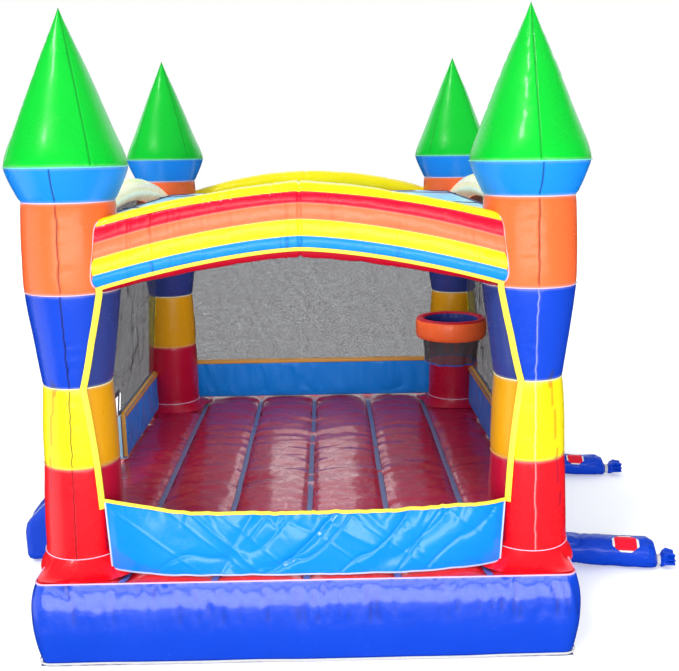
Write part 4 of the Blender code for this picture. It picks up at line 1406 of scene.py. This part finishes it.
def build_door():
    share = np.linspace(0, 1, 90)[None]
    up = np.linspace(0, 1, 36)[:, None]
    along = -DOOR_LENGTH * share
    curl = 0.050 * share**3 * np.sin(np.pi * (0.15 + 0.7 * up))
    wave = 0.006 * fractal(stacked(along, 0.0, up * 0.42), (0.14, 1, 0.2), 671)
    across = -(curl + wave * fade(share, 0.0, 0.2)) * 0.30
    x = -SIDE_WALL_X + across * math.cos(DOOR_AJAR) + along * math.sin(DOOR_AJAR)
    y = DOOR_HINGE_Y + along * math.cos(DOOR_AJAR) - across * math.sin(DOOR_AJAR)
    points = stacked(x, y, DOOR_FOOT + (WALL_HEIGHT - 0.02) * up)
    flap = Shape().grid(points, wear=0.3 * (1 - fade(np.minimum(up, 1 - up), 0.0, 0.05)))
    # The door's finish adds a painted glow
    door = flap.build("entrance_door_flap", vinyl("sky", "_door"), body="entrance_door",
                      replaces=("entrance_door",), slot="sky")
    trims = Shape()
    for line in (points[-1, ::2], points[0, ::2], points[::2, -1]):
        trims.sweep(line, (-1, 0.1, 0), tape(0.020, 0.008))
    band = trims.build("entrance_door_trim", vinyl("golden"), body="entrance_door", slot="golden")
    hinge = Shape().sweep(points[::2, 0] + (0, 0.012, 0), (-1, 0, 0), tape(0.044, 0.006))
    strip = hinge.build("entrance_door_hinge_tape", webbing("navy"), body=None, slot="navy")
    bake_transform(strip)


# ---------------------------------------------------------------- hoop


def build_hoop():
    turn = turns(160)[None]
    v, w = squared(turns(48)[:, None], 3.6)
    width = (HOOP_RADIUS - HOOP_HOLE) / 2
    around = turn * HOOP_RADIUS
    length = 2 * np.pi * HOOP_RADIUS
    swell = puckers(around, (1 - np.abs(w)) * 0.07, length, 0.045, 0.009, 0.05, 701, True)
    swell = swell + 0.003 * fractal(stacked(np.cos(turn), np.sin(turn), w), (0.4, 0.4, 1), 703)
    r = (HOOP_RADIUS + HOOP_HOLE) / 2 + (width - 0.002) * v + swell * v
    z = HOOP_TOP - HOOP_DEPTH / 2 + (HOOP_DEPTH / 2 - 0.002) * w + swell * 0.5 * w
    points = about(HOOP_CENTRE, r, turn, z)
    # Parts of the section: top, inside, underside and outside
    ring = Shape()
    for start, count, slot in ((6, 13, 0), (18, 13, 1), (30, 13, 2), (42, 13, 2)):
        rows = np.arange(start, start + count) % 48
        ring.grid(points[rows], wrap_u=True, flip=True, slot=slot)
    mats = [vinyl(c) for c in ("crimson", "navy", "orange")]
    hoop = ring.build("hoop_ring_pad", mats, replaces=("hoop_ring",), slot="orange")
    low = HOOP_TOP - HOOP_DEPTH
    down = np.linspace(0, 1, 24)[:, None]
    r = HOOP_HOLE + 0.030 - 0.040 * down**0.8
    r = r * (1 + 0.05 * np.sin(9 * turn + 2) * down + 0.03 * np.sin(14 * turn) * down)
    net_points = about(HOOP_CENTRE, r, turn, low + 0.012 - (NET_DEPTH + 0.008) * down)
    net = Shape().grid(net_points, wrap_u=True, flip=True)
    piece = net.build("hoop_net_mesh", netting(0.016, 0.44, "_hoop"), replaces=("hoop_net",), slot="net")
    hem = Shape().sweep(net_points[-1] + (0, 0, 0.006), (0, 0, 1), circle(0.008), closed=True)
    band = hem.build("hoop_net_hem", webbing("blue"), slot="blue")


# ---------------------------------------------------------------- air sleeves


def build_sleeve(name, root_y, run_y, root_z, length, radius, seed):
    body = f"blower_sleeve_{name}"
    heading = np.array((math.sqrt(length**2 - run_y**2), run_y, 0.0)) / length
    aside = np.array((-heading[1], heading[0], 0.0))
    start = -0.030
    # From the sewn root to the neck that the strap ties, and on to the bunched end
    d = np.r_[np.linspace(start, length * 0.80, 76), np.linspace(length * 0.805, length, 54)][:, None]
    shares = (0.80, 0.85, 0.872, 0.882, 0.90, 0.92, 0.95, 1.0)
    places = (start, 0.045, 0.16, *(length * share for share in shares))
    radii = (radius * share for share in (0.90, 0.98, 1.0, 1.0, 0.86, 0.52))
    r = np.interp(d, places, (*radii, 0.038, 0.038, 0.072, 0.088, 0.080))
    fall = np.clip(d / (length * 0.7), 0, 1)
    lie = 0.008 + np.maximum(r, 0.060)
    z = root_z + (lie - root_z) * (3 * fall**2 - 2 * fall**3)
    angle = turns(76)[None]
    around = angle * radius
    loop = 2 * np.pi * radius
    flat = stacked(d, np.cos(angle), np.sin(angle))
    swell = puckers(around, np.abs(d), loop, 0.035, 0.014, 0.14, seed, True)
    swell = swell + puckers(around, np.abs(length * 0.885 - d), loop, 0.028, 0.018, 0.16, seed + 1, True)
    swell = swell + 0.006 * fractal(flat, (0.16, 0.7, 0.7), seed + 2)
    swell = swell - 0.010 * ridges(flat, (0.14, 1.1, 1.1), seed + 5) * (d < 0.5)
    tail = fade(d, length * 0.90, length * 0.96)
    pleat = np.sin(angle * 7 + 1.3 * np.sin(angle * 2)) * 0.28 * r * tail
    limit = np.clip(r / 0.10, 0.15, 1)
    rr = r + np.minimum(swell, 0.003) * limit + pleat - 0.20 * r * tail
    up = rr * np.sin(angle) * (1 - 0.25 * tail)
    foot = np.array((SLEEVE_ROOT_X, root_y, 0.0))
    points = foot + d[..., None] * heading + (rr * np.cos(angle))[..., None] * aside
    points[..., 2] = np.maximum(z + up, 0.003)
    tube = Shape().grid(points, wrap_u=True)
    tube.cap(points[-1])
    sleeve = tube.build(f"{body}_skin", vinyl("blue", "_sleeve"), body=None, replaces=(body,), slot="blue")
    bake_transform(sleeve)

    # The tie strap: two rounds of webbing and a loose end that drops to the ground
    neck = int(np.argmin(np.abs(d[:, 0] - length * 0.89)))
    middle = points[neck].mean(0)
    turn = turns(40)
    strap = Shape()
    for shift, size in ((-0.005, 0.041), (0.006, 0.0415)):
        out = (size * np.cos(turn))[:, None] * aside + stacked(0.0, 0.0, size * np.sin(turn))
        strap.sweep(middle + heading * shift + out, out, tape(0.018, 0.003), closed=True)
    t = np.linspace(0, 1, 24)[:, None]
    drop = middle + aside * (0.040 + 0.10 * t) + heading * 0.02 * t**2
    drop[:, 2] = 0.006 + (middle[2] - 0.006) * (1 - fade(t[:, 0], 0.0, 0.55))
    strap.sweep(drop, (0, 0, 1), tape(0.018, 0.003))
    strap.build(f"sleeve_tie_{name}", webbing("white"), body=body,
                replaces=(f"sleeve_tie_strap_{name}",), slot="webbing")

    # A plain patch with rounded corners, which lies on the sleeve
    u = np.linspace(-1, 1, 25)[None]
    v = np.linspace(-1, 1, 25)[:, None]
    corner = np.sqrt(np.maximum(1.0, 0.5 * (np.abs(u) + np.abs(v)) ** 2))
    where = length * 0.64 + u / corner * radius * 0.85
    phi = math.radians(125) + v / corner * 0.62
    lift = np.interp(where, d[:, 0], r[:, 0]) + 0.006
    patch = foot + where[..., None] * heading + (lift * np.cos(phi))[..., None] * aside
    patch[..., 2] = np.interp(where, d[:, 0], z[:, 0]) + lift * np.sin(phi)
    mid = np.maximum((np.abs(u[:, :-1] + u[:, 1:])) / 2, (np.abs(v[:-1] + v[1:])) / 2)
    label = Shape().grid(patch, keep=mid <= 0.80)
    label.grid(patch, slot=1, keep=mid > 0.80)
    label.build(f"sleeve_patch_{name}", [vinyl("rose"), vinyl("white")], body=body, slot="red")


# ---------------------------------------------------------------- deflation zip


ZIP_Y = HALF_Y + BASE_BULGE
ZIP_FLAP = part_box("zip_cover_flap")
ZIP_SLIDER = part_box("zip_slider")
ZIP_Z = (ZIP_SLIDER[0].z + ZIP_SLIDER[1].z) / 2


def build_zip():
    """Two tapes, and teeth that point to either side by turns."""
    half = ZIP_FLAP[1].x - 0.02
    xs = np.linspace(-half, half, 90)
    tapes = Shape()
    for side in (-1, 1):
        tapes.sweep(stacked(xs, ZIP_Y + 0.002, ZIP_Z + side * 0.017), (0, 1, 0), tape(0.028, 0.002))
    tapes.build("zip_tape", webbing("navy"), slot="navy")
    teeth = Shape()
    count = 150
    reaches = np.array((-0.004, 0.0015, 0.004))
    for i in range(count):
        x = -half + 2 * half * (i + 0.5) / count
        side = 1 if i % 2 else -1
        teeth.sweep(stacked(x, ZIP_Y + 0.0045, ZIP_Z + side * reaches), (0, 1, 0), tape(0.0028, 0.0026, 2))
    teeth.build("zip_teeth", metal(), slot="metal")


def build_zip_flap():
    low, high = ZIP_FLAP
    xs = np.linspace(low.x, high.x, 90)[None]
    up = np.linspace(0, 1, 18)[:, None]
    z = low.z + (high.z - low.z) * up
    y = (low.y + high.y) / 2 + 0.004 * noise(stacked(xs, 0.0, z), (0.09, 1, 0.08), 801) * (1 - up) + 0.002
    flap = Shape().grid(stacked(xs, np.maximum(y, low.y), z), flip=True, wear=0.5 * (1 - fade(up, 0.0, 0.08)))
    cover = flap.build("zip_cover_flap_sheet", vinyl("blue"), body="zip_cover_flap",
                       replaces=("zip_cover_flap",), slot="blue")
    hinge_y = np.linspace(ZIP_Y + 0.001, low.y + 0.002, 5)[:, None]
    bridge = Shape().grid(stacked(xs, hinge_y, high.z + 0.001))
    seam = bridge.build("zip_flap_hinge", vinyl("blue"), body=None, slot="blue")
    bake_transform(seam)


def build_zip_slider():
    """A waisted body in two plates, a bridge over it and a pull tab."""
    low, high = ZIP_SLIDER
    slider = Shape()
    cx, span = (low.x + high.x) / 2, (high.x - low.x) / 2
    t = np.linspace(0, 1, 20)
    taper = 0.0062 - 0.0022 * np.sin(np.pi * t)
    for base in (low.y + 0.001, low.y + 0.0045):
        ring = np.concatenate([
            stacked(cx - span + 2 * span * t, base, ZIP_Z + taper),
            stacked(cx + span - 2 * span * t, base, ZIP_Z - taper[::-1]),
        ])
        lid = ring + (0, 0.0022, 0)
        slider.grid(np.stack([ring, lid]), wrap_u=True)
        slider.cap(ring)
        slider.cap(lid, flip=True)
    arc = np.linspace(0, np.pi, 14)
    arch = stacked(cx - 0.010 * np.cos(arc), low.y + 0.006 + 0.003 * np.sin(arc), ZIP_Z)
    slider.sweep(arch, (0, 0, 1), circle(0.0012))
    pull = stacked(cx + 0.008, high.y - 0.0005, ZIP_Z - 0.004 - 0.026 * t)
    slider.sweep(pull, (0, 1, 0), tape(0.008, 0.0015))
    slider.build("zip_slider_body", metal(), body="zip_slider", replaces=("zip_slider",), slot="metal")


# ---------------------------------------------------------------- all of it

make_camera()
make_world()
mirrored_by = make_lights()
bpy.context.scene.view_settings.view_transform = "Standard"
make_floor()
build_base()
build_floor()
build_underside()
for number, (corner, sx, sy) in enumerate(CORNERS):
    build_tower(corner, sx, sy, number)
    build_tower_foot(corner, sx, sy, number)
build_opening_trims()
build_front_arch()
build_arch_trims()
build_small_arches()
build_roof()
build_low_walls()
build_nets()
build_apron()
build_step()
build_door()
build_hoop()
for number, row in enumerate(SLEEVES):
    build_sleeve(*row, seed=900 + 20 * number)
build_zip()
build_zip_flap()
build_zip_slider()
for card, pieces in mirrored_by.items():
    only_lights(card, pieces)
